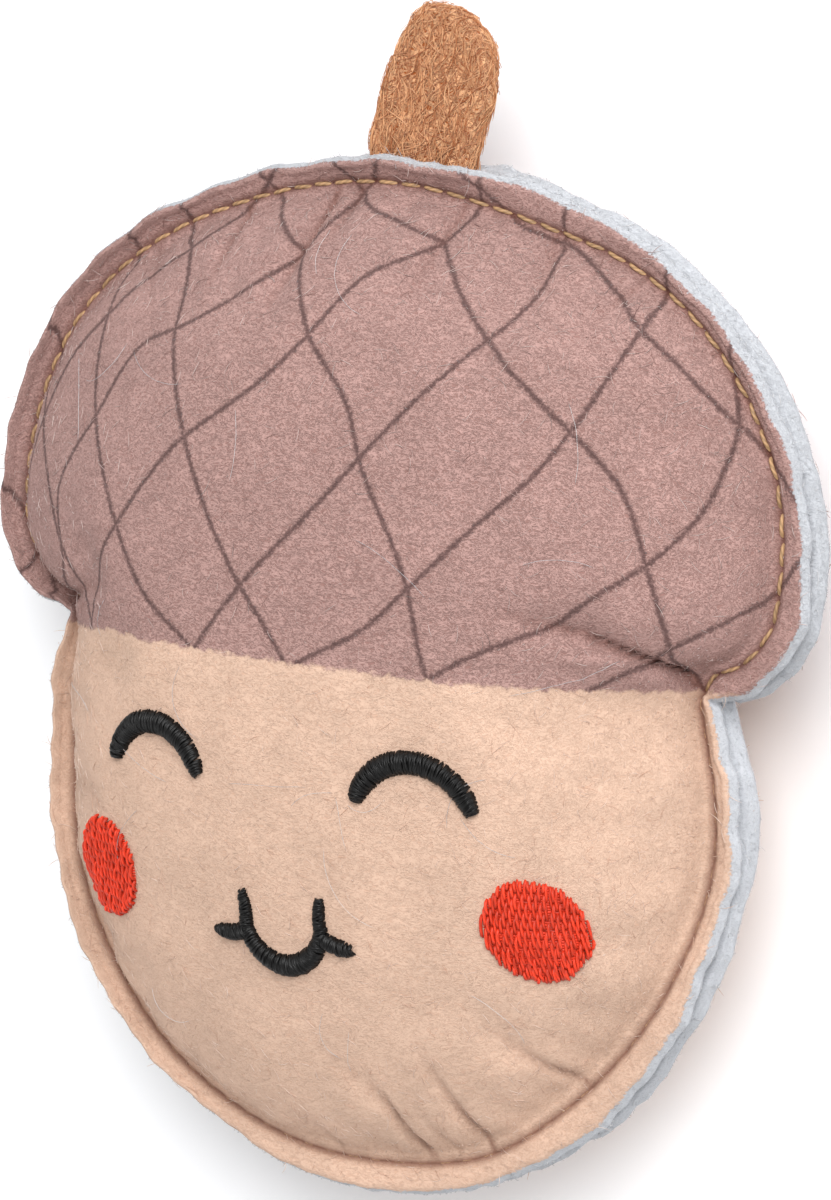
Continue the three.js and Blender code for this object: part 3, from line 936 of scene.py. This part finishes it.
def lay_threads(name, template, paths, ups, width, height, seed, fade=0.0):
    """Copies of one modelled thread, each bent along its own path, joined as one piece.

    paths and ups are (threads, steps + 1, 3) arrays in mm: the middle of each thread and the
    direction away from the felt. Each thread gets a tint from 0 to 1, and the distance
    along it, as point attributes.
    """
    points, faces = template
    paths, ups = np.asarray(paths, float), np.asarray(ups, float)
    steps = paths.shape[1] - 1
    level = np.rint(points[:, 2] * steps).astype(int)
    ways = np.gradient(paths, axis=1)
    ways /= np.maximum(np.linalg.norm(ways, axis=-1, keepdims=True), 1e-9)
    sides = np.cross(ups, ways)
    sides /= np.maximum(np.linalg.norm(sides, axis=-1, keepdims=True), 1e-9)
    tops = np.cross(ways, sides)
    draw = np.random.default_rng(seed)
    scale = draw.uniform(1 - fade, 1, len(paths))[:, None, None]
    across = sides[:, level] * points[None, :, 0:1] * width / 2 * scale
    upward = tops[:, level] * points[None, :, 1:2] * height / 2 * scale
    placed = (paths[:, level] + across + upward).reshape(-1, 3) * MM
    count = len(points)
    every = [tuple(k * count + v for v in face) for k in range(len(paths)) for face in faces]
    made = mesh_object(name, placed, every)
    lengths = np.linalg.norm(np.diff(paths, axis=1), axis=-1).sum(1)
    turned = np.arctan2(points[:, 1], points[:, 0]) / (2 * math.pi)
    where = np.stack(
        [
            (level / steps)[None] * lengths[:, None], np.broadcast_to(turned, (len(paths), count)),
            np.broadcast_to(draw.uniform(0, 1, len(paths))[:, None], (len(paths), count)),
        ],
        -1,
    )
    point_attribute(made, "thread", where.reshape(-1, 3))
    return made


class Ground:
    """The surface of a made piece, which threads and fibres are laid on."""

    def __init__(self, target, sign=1):
        bpy.context.view_layer.update()
        self.tree = BVHTree.FromObject(target, bpy.context.evaluated_depsgraph_get())
        self.sign = sign

    def at(self, place):
        """The surface point in mm and the normal over a place in plan."""
        start = Vector((place[0] * MM, place[1] * MM, SEWN_PLANE * MM + self.sign))
        spot, normal, _, _ = self.tree.ray_cast(start, Vector((0, 0, -self.sign)))
        if spot is None:
            raise RuntimeError(f"there is no felt at {place}")
        return np.array(spot) / MM, np.array(normal)

    def hug(self, paths, heights):
        """The same paths laid over the surface, at a height above it for each of their steps."""
        laid, ups = np.zeros_like(paths), np.zeros_like(paths)
        for k, path in enumerate(paths):
            for step, point in enumerate(path):
                spot, normal, _, _ = self.tree.find_nearest(Vector(point * MM))
                ups[k, step] = normal
                laid[k, step] = np.array(spot) / MM + ups[k, step] * heights[k, step]
        return laid, ups


def built(name):
    """A piece that an earlier operator made."""
    found = bpy.data.objects.get(name)
    if found is None:
        raise RuntimeError(f"{name} has to be built first")
    return found


# A stitch's crest over the felt, its dip at both ends, and how much deeper it lies in the nut.
STITCH_CREST, STITCH_DIP, NUT_SINK = 0.16, 0.6, 0.34


def seam_stitches(name, node, panel, sign, seed):
    """The lockstitches on one side of the seam, each dipping into the felt at both ends."""
    threads = settings().threads
    seam = seam_line()
    along, total = run_length(seam)
    count = round(total / mm(threads.stitch_length))
    ground = Ground(panel, sign)
    closed = np.vstack([seam, seam[:1]])
    reach = np.concatenate([along, [total]])
    draw = np.random.default_rng(seed)
    steps = 8
    paths, ups = [], []
    for k in range(count):
        start = (k + 0.05) * total / count
        end = (k + 0.95) * total / count
        tilt = draw.uniform(-0.12, 0.12)
        path, up = [], []
        for t in np.linspace(0, 1, steps + 1):
            where = start + (end - start) * t
            place, ahead = points_on(closed, reach, (where, where + 0.3))
            way = (ahead - place) / np.linalg.norm(ahead - place)
            place = place + np.array((way[1], -way[0])) * tilt * (2 * t - 1)
            spot, _ = ground.at(place)
            arch = STITCH_CREST - STITCH_DIP * abs(2 * t - 1) ** 4
            arch -= NUT_SINK * (place[1] < CAP_FOOT)
            spot[2] += sign * arch
            path.append(spot)
            up.append((0, 0, sign))
        paths.append(path)
        ups.append(up)
    template = thread_template("stitch", 8, steps, 0.55)
    width = mm(threads.sewing_width)
    made = lay_threads(name, template, paths, ups, width, width, seed)
    finish = partial(spun_thread, colour=settings().colours.sewing, roughness=0.5, lay=1.0)
    made.data.materials.append(make_material("Spun polyester thread", finish))
    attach(made, "root")
    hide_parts(node)
    return made


def satin_column(line, half_widths, ground, draw, height):
    """Threads laid side by side across a line in plan, over a lower layer of the same."""
    low_paths, low_ups = satin_layer(line, half_widths * 0.96, ground, draw, height * 0.7)
    paths, ups = satin_layer(line, half_widths, ground, draw, height)
    return low_paths + paths, low_ups + ups


def satin_layer(line, half_widths, ground, draw, height):
    """One layer of threads, each laid from edge to edge of the column."""
    reach = line_reach(line)
    paths, ups = [], []
    where = 0.05
    while where < reach[-1]:
        before, place, after = points_on(line, reach, (where - 0.2, where, where + 0.2))
        way = (after - before) / max(np.linalg.norm(after - before), 1e-9)
        across = np.array((way[1], -way[0]))
        half = np.interp(where, reach, half_widths)
        left, right = half * draw.uniform(0.93, 1.08, 2)
        slant = draw.uniform(-0.2, 0.4)
        lie = draw.uniform(-0.12, 0.12)
        path, up = [], []
        for t in np.linspace(-1, 1, STRAND_STEPS + 1):
            spot = place + across * (left if t < 0 else right) * t + way * slant * t
            surface, normal = ground.at(spot)
            crown = height * min(1, half / 0.9) * (1 - abs(t) ** 3) + lie * (1 - t * t)
            path.append(surface + normal * crown)
            up.append(normal)
        paths.append(path)
        ups.append(up)
        where += draw.uniform(0.11, 0.22)
    return paths, ups


def sample_faces(target, face_count, count, draw, rim_share=0.0):
    """Random places on the first faces of a mesh: (corners, weights), points and normals.

    rim_share is how much more likely a place is where the mesh is steep.
    """
    mesh = target.data
    places, normals = vertex_values(target)
    areas, corners = np.zeros(len(mesh.polygons)), np.zeros(len(mesh.loops), int)
    mesh.polygons.foreach_get("area", areas)
    mesh.loops.foreach_get("vertex_index", corners)
    quads = corners[: face_count * 4].reshape(-1, 4)
    steep = 1 - np.abs(normals[quads].mean(1)[:, 2])
    chances = areas[:face_count] * (1 + rim_share * steep)
    picked = draw.choice(face_count, count, p=chances / chances.sum())
    u, v = draw.uniform(0, 1, (2, count))
    weights = np.stack([(1 - u) * (1 - v), u * (1 - v), u * v, (1 - u) * v], -1)[..., None]
    corners = quads[picked]
    points = (places[corners] * weights).sum(1)
    return (corners, weights), points, (normals[corners] * weights).sum(1)


def vertex_values(target, attribute=None):
    """The places and normals of a mesh's points, or the three numbers of an attribute."""
    count = len(target.data.vertices)
    if attribute is not None:
        values = np.zeros(count * 3, np.float32)
        target.data.attributes[attribute].data.foreach_get("vector", values)
        return values.reshape(-1, 3)
    places, normals = np.zeros(count * 3), np.zeros(count * 3)
    target.data.vertices.foreach_get("co", places)
    target.data.vertex_normals.foreach_get("vector", normals)
    return places.reshape(-1, 3) / MM, normals.reshape(-1, 3)


def fibre_paths(roots, normals, ways, lengths, lifts, curls, steps):
    """Short fibres that leave the felt, rise and bend back, as (count, steps + 1, 3)."""
    along = ways - normals * (ways * normals).sum(-1, keepdims=True)
    along /= np.maximum(np.linalg.norm(along, axis=-1, keepdims=True), 1e-9)
    side = np.cross(normals, along)
    t = np.linspace(0, 1, steps + 1)[None, :, None]
    reach = lengths[:, None, None]
    rise = np.sin(lifts)[:, None, None] * t * (1 - 0.45 * t)
    return (
        roots[:, None]
        + along[:, None] * reach * t * np.cos(lifts)[:, None, None]
        + normals[:, None] * (reach * rise - 0.02)
        + side[:, None] * curls[:, None, None] * reach * t**2
    )


# Fibres and hairs are drawn wider than the real ones, so that they show.
LOOSE_FIBRES = "Loose fibres of the printed felt"
FRONT_FIBRES, BACK_FIBRES = 9500, 7500
RIM_SHARE = 20.0
FIBRE_WIDTH, HAIR_WIDTH = 0.08, 0.05
HAIR_COUNT = 26


def panel_nap(name, panel, face_count, fibre_count, seed):
    """The loose fibres over a panel: most lie flat, and short ones stand out along its rim."""
    draw = np.random.default_rng(seed + 100)
    sampled = sample_faces(panel, face_count, fibre_count, draw, RIM_SHARE)
    (corners, weights), roots, out = sampled
    steps = 3
    standing = draw.uniform(0, 1, fibre_count) < np.where(np.abs(out[:, 2]) < 0.6, 1.0, 0.5)
    upright, lying = draw.uniform(20, 75, fibre_count), draw.uniform(1, 9, fibre_count)
    lifts = np.radians(np.where(standing, upright, lying))
    short, long = draw.uniform(0.2, 0.5, fibre_count), draw.uniform(0.8, 1.9, fibre_count)
    lengths = np.where(standing, short, long)
    curls = draw.uniform(-0.7, 0.7, fibre_count)
    paths = fibre_paths(roots, out, draw.normal(size=(fibre_count, 3)), lengths, lifts, curls, steps)
    paths[..., 2] = np.maximum(paths[..., 2], FLOOR_Z + 0.05)
    ups = np.broadcast_to(out[:, None], paths.shape)
    template = thread_template("fibre", 3, steps, 0.35)
    made = lay_threads(name, template, paths, ups, FIBRE_WIDTH, FIBRE_WIDTH, seed, fade=0.4)
    for attribute in ("lattice", "lattice_pitch_and_shade"):
        values = (vertex_values(panel, attribute)[corners] * weights).sum(1)
        # The nap carries half of the panel's painted shade.
        if attribute == "lattice_pitch_and_shade":
            values[:, 2] *= 0.5
        point_attribute(made, attribute, np.repeat(values, len(template[0]), axis=0))
    made.data.materials.append(make_material(LOOSE_FIBRES, nap_felt))
    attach(made, "root")
    return made


def loose_hairs(name, panel, count, seed):
    """Long pale hairs that have worked out of the felt and lie across it."""
    draw = np.random.default_rng(seed)
    ground = Ground(panel)
    seam = seam_line()
    steps = 14
    paths, ups = [], []
    while len(paths) < count:
        place = draw.uniform((-38, -52), (38, 38))
        way = draw.uniform(0, 2 * math.pi)
        bend = draw.uniform(-0.12, 0.12)
        step = draw.uniform(4, 10) / steps
        path, up = [], []
        for k in range(steps + 1):
            if np.linalg.norm(place - HUB) > 0.9 * radius_from_hub(seam, place[None])[0]:
                break
            spot, normal = ground.at(place)
            path.append(spot + normal * (0.1 + 0.5 * math.sin(math.pi * k / steps)))
            up.append(normal)
            way += bend + draw.uniform(-0.06, 0.06)
            place = place + np.array((math.cos(way), math.sin(way))) * step
        if len(path) == steps + 1:
            paths.append(path)
            ups.append(up)
    template = thread_template("hair", 3, steps, 0.4)
    made = lay_threads(name, template, paths, ups, HAIR_WIDTH, HAIR_WIDTH, seed)
    values = np.tile((0.5, 0.5, 0.3), (len(made.data.vertices), 1))
    point_attribute(made, "lattice", values)
    point_attribute(made, "lattice_pitch_and_shade", values * (10, 10, 0))
    made.data.materials.append(make_material(LOOSE_FIBRES, nap_felt))
    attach(made, "root")
    return made


# ---- Embroidery, in mm ----

EYE = {"x": 15.6, "y": -18.6, "radius": 6.3, "reach": 72.5, "half_width": 1.12}
CHEEK = {"half_width": 4.75, "half_height": 5.2}
UNDERLAY_PITCH, ROW_PITCH, FILL_STITCH = 0.27, 0.34, 1.9
LEFT_CHEEK, RIGHT_CHEEK = (-25.0, -28.9), (26.4, -28.1)
SMILE = (
    (-4.7, -30.6), (-4.5, -32.0), (-4.0, -33.2), (-2.8, -34.3), (-1.0, -35.05), (0.6, -34.95),
    (2.2, -34.2), (3.5, -33.1), (4.3, -31.8), (4.6, -30.4),
)
LEFT_RISER = ((-4.55, -31.2), (-4.4, -29.8), (-4.7, -27.9))
RIGHT_RISER = ((4.45, -31.2), (4.5, -29.2), (4.75, -27.4))
LEFT_FLICK = ((-4.6, -31.9), (-6.3, -32.55), (-8.7, -32.55))
RIGHT_FLICK = ((4.6, -31.4), (6.2, -32.1), (7.9, -32.2))


def embroider(name, node, paths, ups, colour, seed, finish_name, bulk=1.0):
    """Lays the strands of one embroidered piece, bulk times as thick as the thread."""
    width = mm(settings().threads.embroidery_width) * bulk
    template = thread_template("strand", 6, STRAND_STEPS, 0.6)
    made = lay_threads(name, template, paths, ups, width, width, seed)
    finish = partial(spun_thread, colour=colour, roughness=0.42, lay=1.6)
    made.data.materials.append(make_material(finish_name, finish))
    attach(made, "root")
    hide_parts(node)
    return made


def sew_eye(name, node, side, seed):
    """One closed eye: an arc of satin stitch, thick in the middle and rounded at its ends."""
    draw = np.random.default_rng(seed)
    ground = Ground(built("felt_front"))
    turns = np.linspace(-EYE["reach"], EYE["reach"], 40)
    line = on_circle((side * EYE["x"], EYE["y"]), EYE["radius"], turns)
    share = np.linspace(-1, 1, len(line))
    halves = EYE["half_width"] * (1 - 0.45 * np.abs(share) ** 7)
    height = mm(settings().threads.satin_height)
    paths, ups = satin_column(line, halves, ground, draw, height)
    colour = settings().colours.black
    return embroider(name, node, paths, ups, colour, seed, "Black polyester embroidery thread")


def sew_mouth(name, node, seed):
    """The smile: a bowl of satin stitch with two thin risers, and a flick on either side."""
    draw = np.random.default_rng(seed)
    ground = Ground(built("felt_front"))
    columns = (
        (LEFT_FLICK, lambda t: 0.85 - 0.1 * t - 0.4 * t**6),
        (RIGHT_FLICK, lambda t: 0.8 + 0.1 * t - 0.6 * t**6),
        (LEFT_RISER, lambda t: 0.72 - 0.15 * t - 0.2 * t**8),
        (RIGHT_RISER, lambda t: 0.68 - 0.1 * t - 0.2 * t**8),
        (SMILE, lambda t: 0.66 + 0.42 * np.sin(np.pi * t)),
    )
    height = mm(settings().threads.satin_height)
    paths, ups = [], []
    for points, width_at in columns:
        line = even_run(points, 0.3)
        halves = width_at(np.linspace(0, 1, len(line)))
        more_paths, more_ups = satin_column(line, halves, ground, draw, height)
        paths += more_paths
        ups += more_ups
    colour = settings().colours.black
    return embroider(name, node, paths, ups, colour, seed, "Black polyester embroidery thread")


def sew_cheek(name, node, middle, seed):
    """One round cheek of fill stitch over a flat underlay.

    Its stitches stand upright in close rows, and each row is set off from the last by half a
    stitch, like bricks.
    """
    draw = np.random.default_rng(seed)
    ground = Ground(built("felt_front"))
    paths, ups = [], []
    half_width, half_height = CHEEK["half_width"], CHEEK["half_height"]

    def lay(start, end, crown, dip):
        path, up = [], []
        bow = draw.uniform(-0.06, 0.06)
        for t in np.linspace(0, 1, STRAND_STEPS + 1):
            place = np.array(start) * (1 - t) + np.array(end) * t
            place[0] += bow * math.sin(math.pi * t)
            surface, normal = ground.at(place + middle)
            path.append(surface + normal * (crown - (crown + dip) * abs(2 * t - 1) ** 3.4))
            up.append(normal)
        paths.append(path)
        ups.append(up)

    for y in np.arange(-half_height + 0.4, half_height - 0.3, UNDERLAY_PITCH):
        wide = half_width * math.sqrt(1 - (y / half_height) ** 2) - 0.2
        lay((-wide, y), (wide, y), 0.1, 0.05)
    x, row = -half_width + 0.12, 0
    while x < half_width - 0.08:
        slope = ground.at(np.array((x, 0)) + middle)[1][2]
        tall = half_height * math.sqrt(1 - (x / half_width) ** 2)
        top, foot = tall + draw.uniform(-0.2, 0.2), -tall + draw.uniform(-0.2, 0.2)
        breaks = np.arange(-12, 12, FILL_STITCH) + (row % 2) * FILL_STITCH / 2
        breaks = breaks + draw.uniform(-0.2, 0.2)
        stops = [foot, *breaks[(breaks > foot + 0.6) & (breaks < top - 0.6)], top]
        for low, high in zip(stops, stops[1:]):
            x_low, x_high = x + draw.uniform(-0.1, 0.1, 2)
            lay((x_low, low), (x_high, high), draw.uniform(0.32, 0.56), 0.1)
        x += ROW_PITCH * max(slope, 0.4)
        row += 1
    colour = settings().colours.red
    finish_name = "Red polyester embroidery thread"
    return embroider(name, node, paths, ups, colour, seed, finish_name, bulk=1.25)


# ---- Stem and filling ----


STEM_FIBRES = 2600
STEM_SOFTNESS = 1.1
# The stem's outline, clockwise from its foot at the left.
STEM_EDGE = (
    (-5.0, 38.4), (-5.1, 44.8), (-4.8, 47.5), (-4.1, 50.8), (-2.8, 54.0), (-1.5, 57.0),
    (-0.3, 59.0), (1.4, 59.8), (2.9, 59.7), (5.5, 58.8), (7.1, 57.8), (8.1, 56.6), (8.8, 54.6),
    (9.0, 52.8), (8.7, 50.2), (7.8, 47.3), (7.0, 44.4), (6.4, 38.4),
)


def even_run(points, step, closed=False):
    """The same line with its points an even distance apart and its corners softened."""
    line = np.array(points, float)
    if closed:
        line = np.vstack([line, line[:1]])
    reach = line_reach(line)
    run = points_on(line, reach, np.linspace(0, reach[-1], max(int(reach[-1] / step), 2) + 1))
    if closed:
        return soften(run[:-1], 8)
    for _ in range(8):
        run[1:-1] = (run[:-2] + 2 * run[1:-1] + run[2:]) / 4
    return run


def build_stem():
    """A thick tab of needle felt with soft cut edges, caught between the two panels."""
    loop = even_run(STEM_EDGE, 0.45, closed=True)
    middle = loop.mean(0)
    along, total = run_length(loop)
    arms = loop - middle
    lengths = np.linalg.norm(arms, axis=1, keepdims=True)
    arms = arms / lengths
    half = mm(settings().felt.stem_thickness) / 2
    ragged = ripple(along, total, ((9, 0.08), (31, 0.05)), 21)
    waist = ripple(along, total, ((3, 0.1), (8, 0.08)), 22)
    rings = []
    soft = STEM_SOFTNESS
    for side in (1, -1):
        band = []
        for share in np.linspace(0.06, 1, 12):
            inner = (lengths - soft) * share
            place = middle + arms * inner
            swell = 0.18 * np.cos(place[:, 0] * 0.9 + 0.4) * np.cos(place[:, 1] * 0.55)
            band.append((place, half - 0.1 + swell + waist * share))
        for turn in np.radians((22, 45, 68, 85)):
            inner = lengths - soft + soft * np.sin(turn) + ragged[:, None] * math.sin(turn)
            place = middle + arms * inner
            band.append((place, (half - 0.1 + waist) * math.cos(turn) ** 0.7))
        band = [np.column_stack([p, SEWN_PLANE + side * z]) for p, z in band]
        rings += band if side > 0 else band[::-1]
    poles = [rings[0].mean(0), rings[-1].mean(0)]
    stem = closed_rings("felt_stem", rings, poles)
    stem.data.materials.append(make_material("Brown needle felt", partial(needle_felt, loose=False)))
    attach(stem, "root")
    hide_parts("stem")
    loose = stem_nap("felt_stem_nap", stem, (len(rings) - 1) * len(loop))
    return stem


def stem_nap(name, stem, face_count):
    """Coarse wavy fibres lying over the stem, most of them running along it."""
    draw = np.random.default_rng(31)
    count = STEM_FIBRES
    _, roots, out = sample_faces(stem, face_count, count, draw)
    ways = draw.normal(size=(count, 3)) * 0.55 + np.array((0.3, 1.2, 0))
    ways *= np.where(draw.uniform(0, 1, count) < 0.5, -1, 1)[:, None]
    lengths = draw.uniform(1.6, 4.6, count)
    curls = draw.uniform(-0.5, 0.5, count)
    steps = 7
    paths = fibre_paths(roots, out, ways, lengths, np.zeros(count), curls, steps)
    t = np.linspace(0, 1, steps + 1)
    wave = np.sin(t * draw.uniform(4, 10, (count, 1)) + draw.uniform(0, 6, (count, 1)))
    paths += np.cross(out, ways)[:, None] * wave[..., None] * 0.12
    heights = draw.uniform(0.0, 0.22, (count, 1)) * np.sin(np.pi * (0.15 + 0.85 * t))
    heights += draw.uniform(0, 0.5, (count, 1)) ** 3 * 4 * t**2
    paths, ups = Ground(stem).hug(paths, heights)
    template = thread_template("coarse", 3, steps, 0.5)
    made = lay_threads(name, template, paths, ups, 0.13, 0.11, 33, fade=0.5)
    finish = partial(needle_felt, loose=True)
    made.data.materials.append(make_material("Loose fibres of the brown felt", finish))
    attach(made, "root")
    return made


def build_filling():
    """The wadding: a soft closed lump that fills the space between the two panels."""
    seam = seam_line()[::4]
    seam = HUB + (seam - HUB) * 0.96
    fronts = Ground(built("felt_front")).tree
    backs = Ground(built("felt_back")).tree
    gap = 0.35
    bands = {1: [], -1: []}
    for share in np.linspace(0.05, 1, 18):
        plan = HUB + (seam - HUB) * share
        for sign, tree in ((1, fronts), (-1, backs)):
            heights = []
            for x, y in plan:
                start = Vector((x, y, SEWN_PLANE)) * MM
                hit = tree.ray_cast(start, Vector((0, 0, sign)))[0]
                room = abs(hit.z / MM - SEWN_PLANE) - gap if hit else 0.0
                heights.append(max(room, 0.05))
            heights = soften(np.array(heights), 3)
            heights = np.minimum(heights, heights * (1 - 0.3 * share**8))
            bands[sign].append(np.column_stack([plan, SEWN_PLANE + sign * heights]))
    rings = bands[1] + bands[-1][::-1]
    poles = [rings[0].mean(0), rings[-1].mean(0)]
    filling = closed_rings("fibre_filling", rings, poles)
    filling.data.materials.append(make_material("Polyester fibre wadding", fibre_wadding))
    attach(filling, "root")
    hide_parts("filling")
    return filling


# ---- Operators ----


class BuildFrontPanel(bpy.types.Operator):
    """Make the printed front panel with its nap and loose hairs"""

    bl_idname = "felt_acorn.front_panel"
    bl_label = "Front Panel"

    def execute(self, context):
        panel = build_panel("felt_front", "front_panel", 1, FACE_FOLDS, 11)
        loose_hairs("loose_hairs", panel, HAIR_COUNT, 51)
        return {"FINISHED"}


class BuildBackPanel(bpy.types.Operator):
    """Make the printed back panel with its nap"""

    bl_idname = "felt_acorn.back_panel"
    bl_label = "Back Panel"

    def execute(self, context):
        build_panel("felt_back", "back_panel", -1, BACK_FOLDS, 12)
        return {"FINISHED"}


class BuildFilling(bpy.types.Operator):
    """Make the wadding between the two panels"""

    bl_idname = "felt_acorn.filling"
    bl_label = "Filling"

    def execute(self, context):
        build_filling()
        return {"FINISHED"}


class BuildStem(bpy.types.Operator):
    """Make the needle felt stem and its loose fibres"""

    bl_idname = "felt_acorn.stem"
    bl_label = "Stem"

    def execute(self, context):
        build_stem()
        return {"FINISHED"}


class SewSeam(bpy.types.Operator):
    """Lay the needle thread and the bobbin thread of the lockstitched seam"""

    bl_idname = "felt_acorn.seam"
    bl_label = "Seam"

    def execute(self, context):
        seam_stitches("needle_stitches", "needle_thread", built("felt_front"), 1, 61)
        seam_stitches("bobbin_stitches", "bobbin_thread", built("felt_back"), -1, 62)
        return {"FINISHED"}


class EmbroiderFace(bpy.types.Operator):
    """Embroider the eyes, the mouth and the cheeks"""

    bl_idname = "felt_acorn.face"
    bl_label = "Face"

    def execute(self, context):
        sew_eye("eye_left", "left_eye", -1, 71)
        sew_eye("eye_right", "right_eye", 1, 72)
        sew_mouth("smile", "mouth", 73)
        sew_cheek("cheek_left", "left_cheek", LEFT_CHEEK, 74)
        sew_cheek("cheek_right", "right_cheek", RIGHT_CHEEK, 75)
        return {"FINISHED"}


class BuildStage(bpy.types.Operator):
    """Set the floor, the soft lights and the camera"""

    bl_idname = "felt_acorn.stage"
    bl_label = "Stage"

    def execute(self, context):
        build_stage()
        return {"FINISHED"}


# ---- Stage ----

# The camera stands above the toy's right side: degrees round from +Z to +X, degrees up
# towards the stem, and degrees of roll. Distances are in mm.
CAMERA_TURN = 35.0
CAMERA_RISE = 7.59
CAMERA_ROLL = 2.55
CAMERA_TARGET = (2.36, 0.4, 17.5)
CAMERA_DISTANCE = 500.0


def aim(made, direction, distance, up=(0, 1, 0)):
    """Puts a lamp at a distance from the toy and turns it to face it."""
    back = Vector(direction).normalized()
    right = Vector(up).cross(back).normalized()
    turned = Matrix((right, back.cross(right), back)).transposed().to_4x4()
    made.matrix_world = Matrix.Translation(back * distance) @ turned


def build_stage():
    scene = bpy.context.scene
    bpy.ops.object.select_all(action="DESELECT")
    bpy.ops.mesh.primitive_plane_add(size=8, location=(0, 0, FLOOR_Z * MM))
    floor = bpy.context.object
    floor.name = "floor"
    floor.data.transform(floor.matrix_world)
    floor.matrix_world = Matrix.Identity(4)
    floor.data.materials.append(make_material("Matt white paint", matt_paint))
    for name, direction, distance, size, power in (
        ("key_light", (0.6, 0.58, 0.9), 1.3, 0.8, 17.0),
        ("fill_light", (-0.75, -0.75, 0.8), 1.5, 1.2, 4.3),
        ("top_light", (-0.1, 1.0, 0.7), 1.4, 0.9, 2.0),
    ):
        light = bpy.data.lights.new(name, "AREA")
        light.shape = "DISK"
        light.size = size
        light.energy = power
        lamp = bpy.data.objects.new(name, light)
        scene.collection.objects.link(lamp)
        aim(lamp, direction, distance)
    world = bpy.data.worlds.new("Studio")
    world.use_nodes = True
    scene.world = world
    sky = world.node_tree.nodes["Background"]
    sky.inputs["Color"].default_value = (1, 1, 1, 1)
    sky.inputs["Strength"].default_value = 0.57
    camera_data = bpy.data.cameras.new("camera")
    camera_data.lens = 100
    camera_data.sensor_fit = "VERTICAL"
    camera_data.sensor_height = 24
    camera_data.clip_end = 20
    camera = bpy.data.objects.new("camera", camera_data)
    scene.collection.objects.link(camera)
    turn, rise, roll = (math.radians(v) for v in (CAMERA_TURN, CAMERA_RISE, CAMERA_ROLL))
    back = Vector((math.sin(turn) * math.cos(rise), math.sin(rise), math.cos(turn) * math.cos(rise)))
    level = Vector((math.cos(turn), 0, -math.sin(turn)))
    upright = back.cross(level)
    right = level * math.cos(roll) + upright * math.sin(roll)
    up = upright * math.cos(roll) - level * math.sin(roll)
    place = Vector(CAMERA_TARGET) * MM + back * CAMERA_DISTANCE * MM
    turned = Matrix((right, up, back)).transposed().to_4x4()
    camera.matrix_world = Matrix.Translation(place) @ turned
    scene.camera = camera
    scene.view_settings.view_transform = "Standard"


class ToyPanel(bpy.types.Panel):
    """Lists the toy's settings and the pieces that can be built"""

    bl_idname = "VIEW3D_PT_felt_acorn"
    bl_label = "Felt Acorn"
    bl_space_type = "VIEW_3D"
    bl_region_type = "UI"
    bl_category = "Felt Acorn"

    def draw(self, context):
        toy = context.scene.felt_acorn
        for group in (toy.felt, toy.threads, toy.colours):
            box = self.layout.box()
            for name in group.__annotations__:
                box.prop(group, name)
        for operator in PIECES:
            self.layout.operator(operator.bl_idname)


PIECES = (
    BuildFrontPanel,
    BuildBackPanel,
    BuildFilling,
    BuildStem,
    SewSeam,
    EmbroiderFace,
    BuildStage,
)
CLASSES = (FeltSettings, ThreadSettings, ColourSettings, ToySettings, *PIECES, ToyPanel)


def register():
    for made in CLASSES:
        bpy.utils.register_class(made)
    bpy.types.Scene.felt_acorn = bpy.props.PointerProperty(type=ToySettings)


def unregister():
    del bpy.types.Scene.felt_acorn
    for made in reversed(CLASSES):
        bpy.utils.unregister_class(made)


def main():
    register()
    bpy.ops.felt_acorn.front_panel()
    bpy.ops.felt_acorn.back_panel()
    bpy.ops.felt_acorn.filling()
    bpy.ops.felt_acorn.stem()
    bpy.ops.felt_acorn.seam()
    bpy.ops.felt_acorn.face()
    bpy.ops.felt_acorn.stage()


if __name__ == "__main__":
    main()
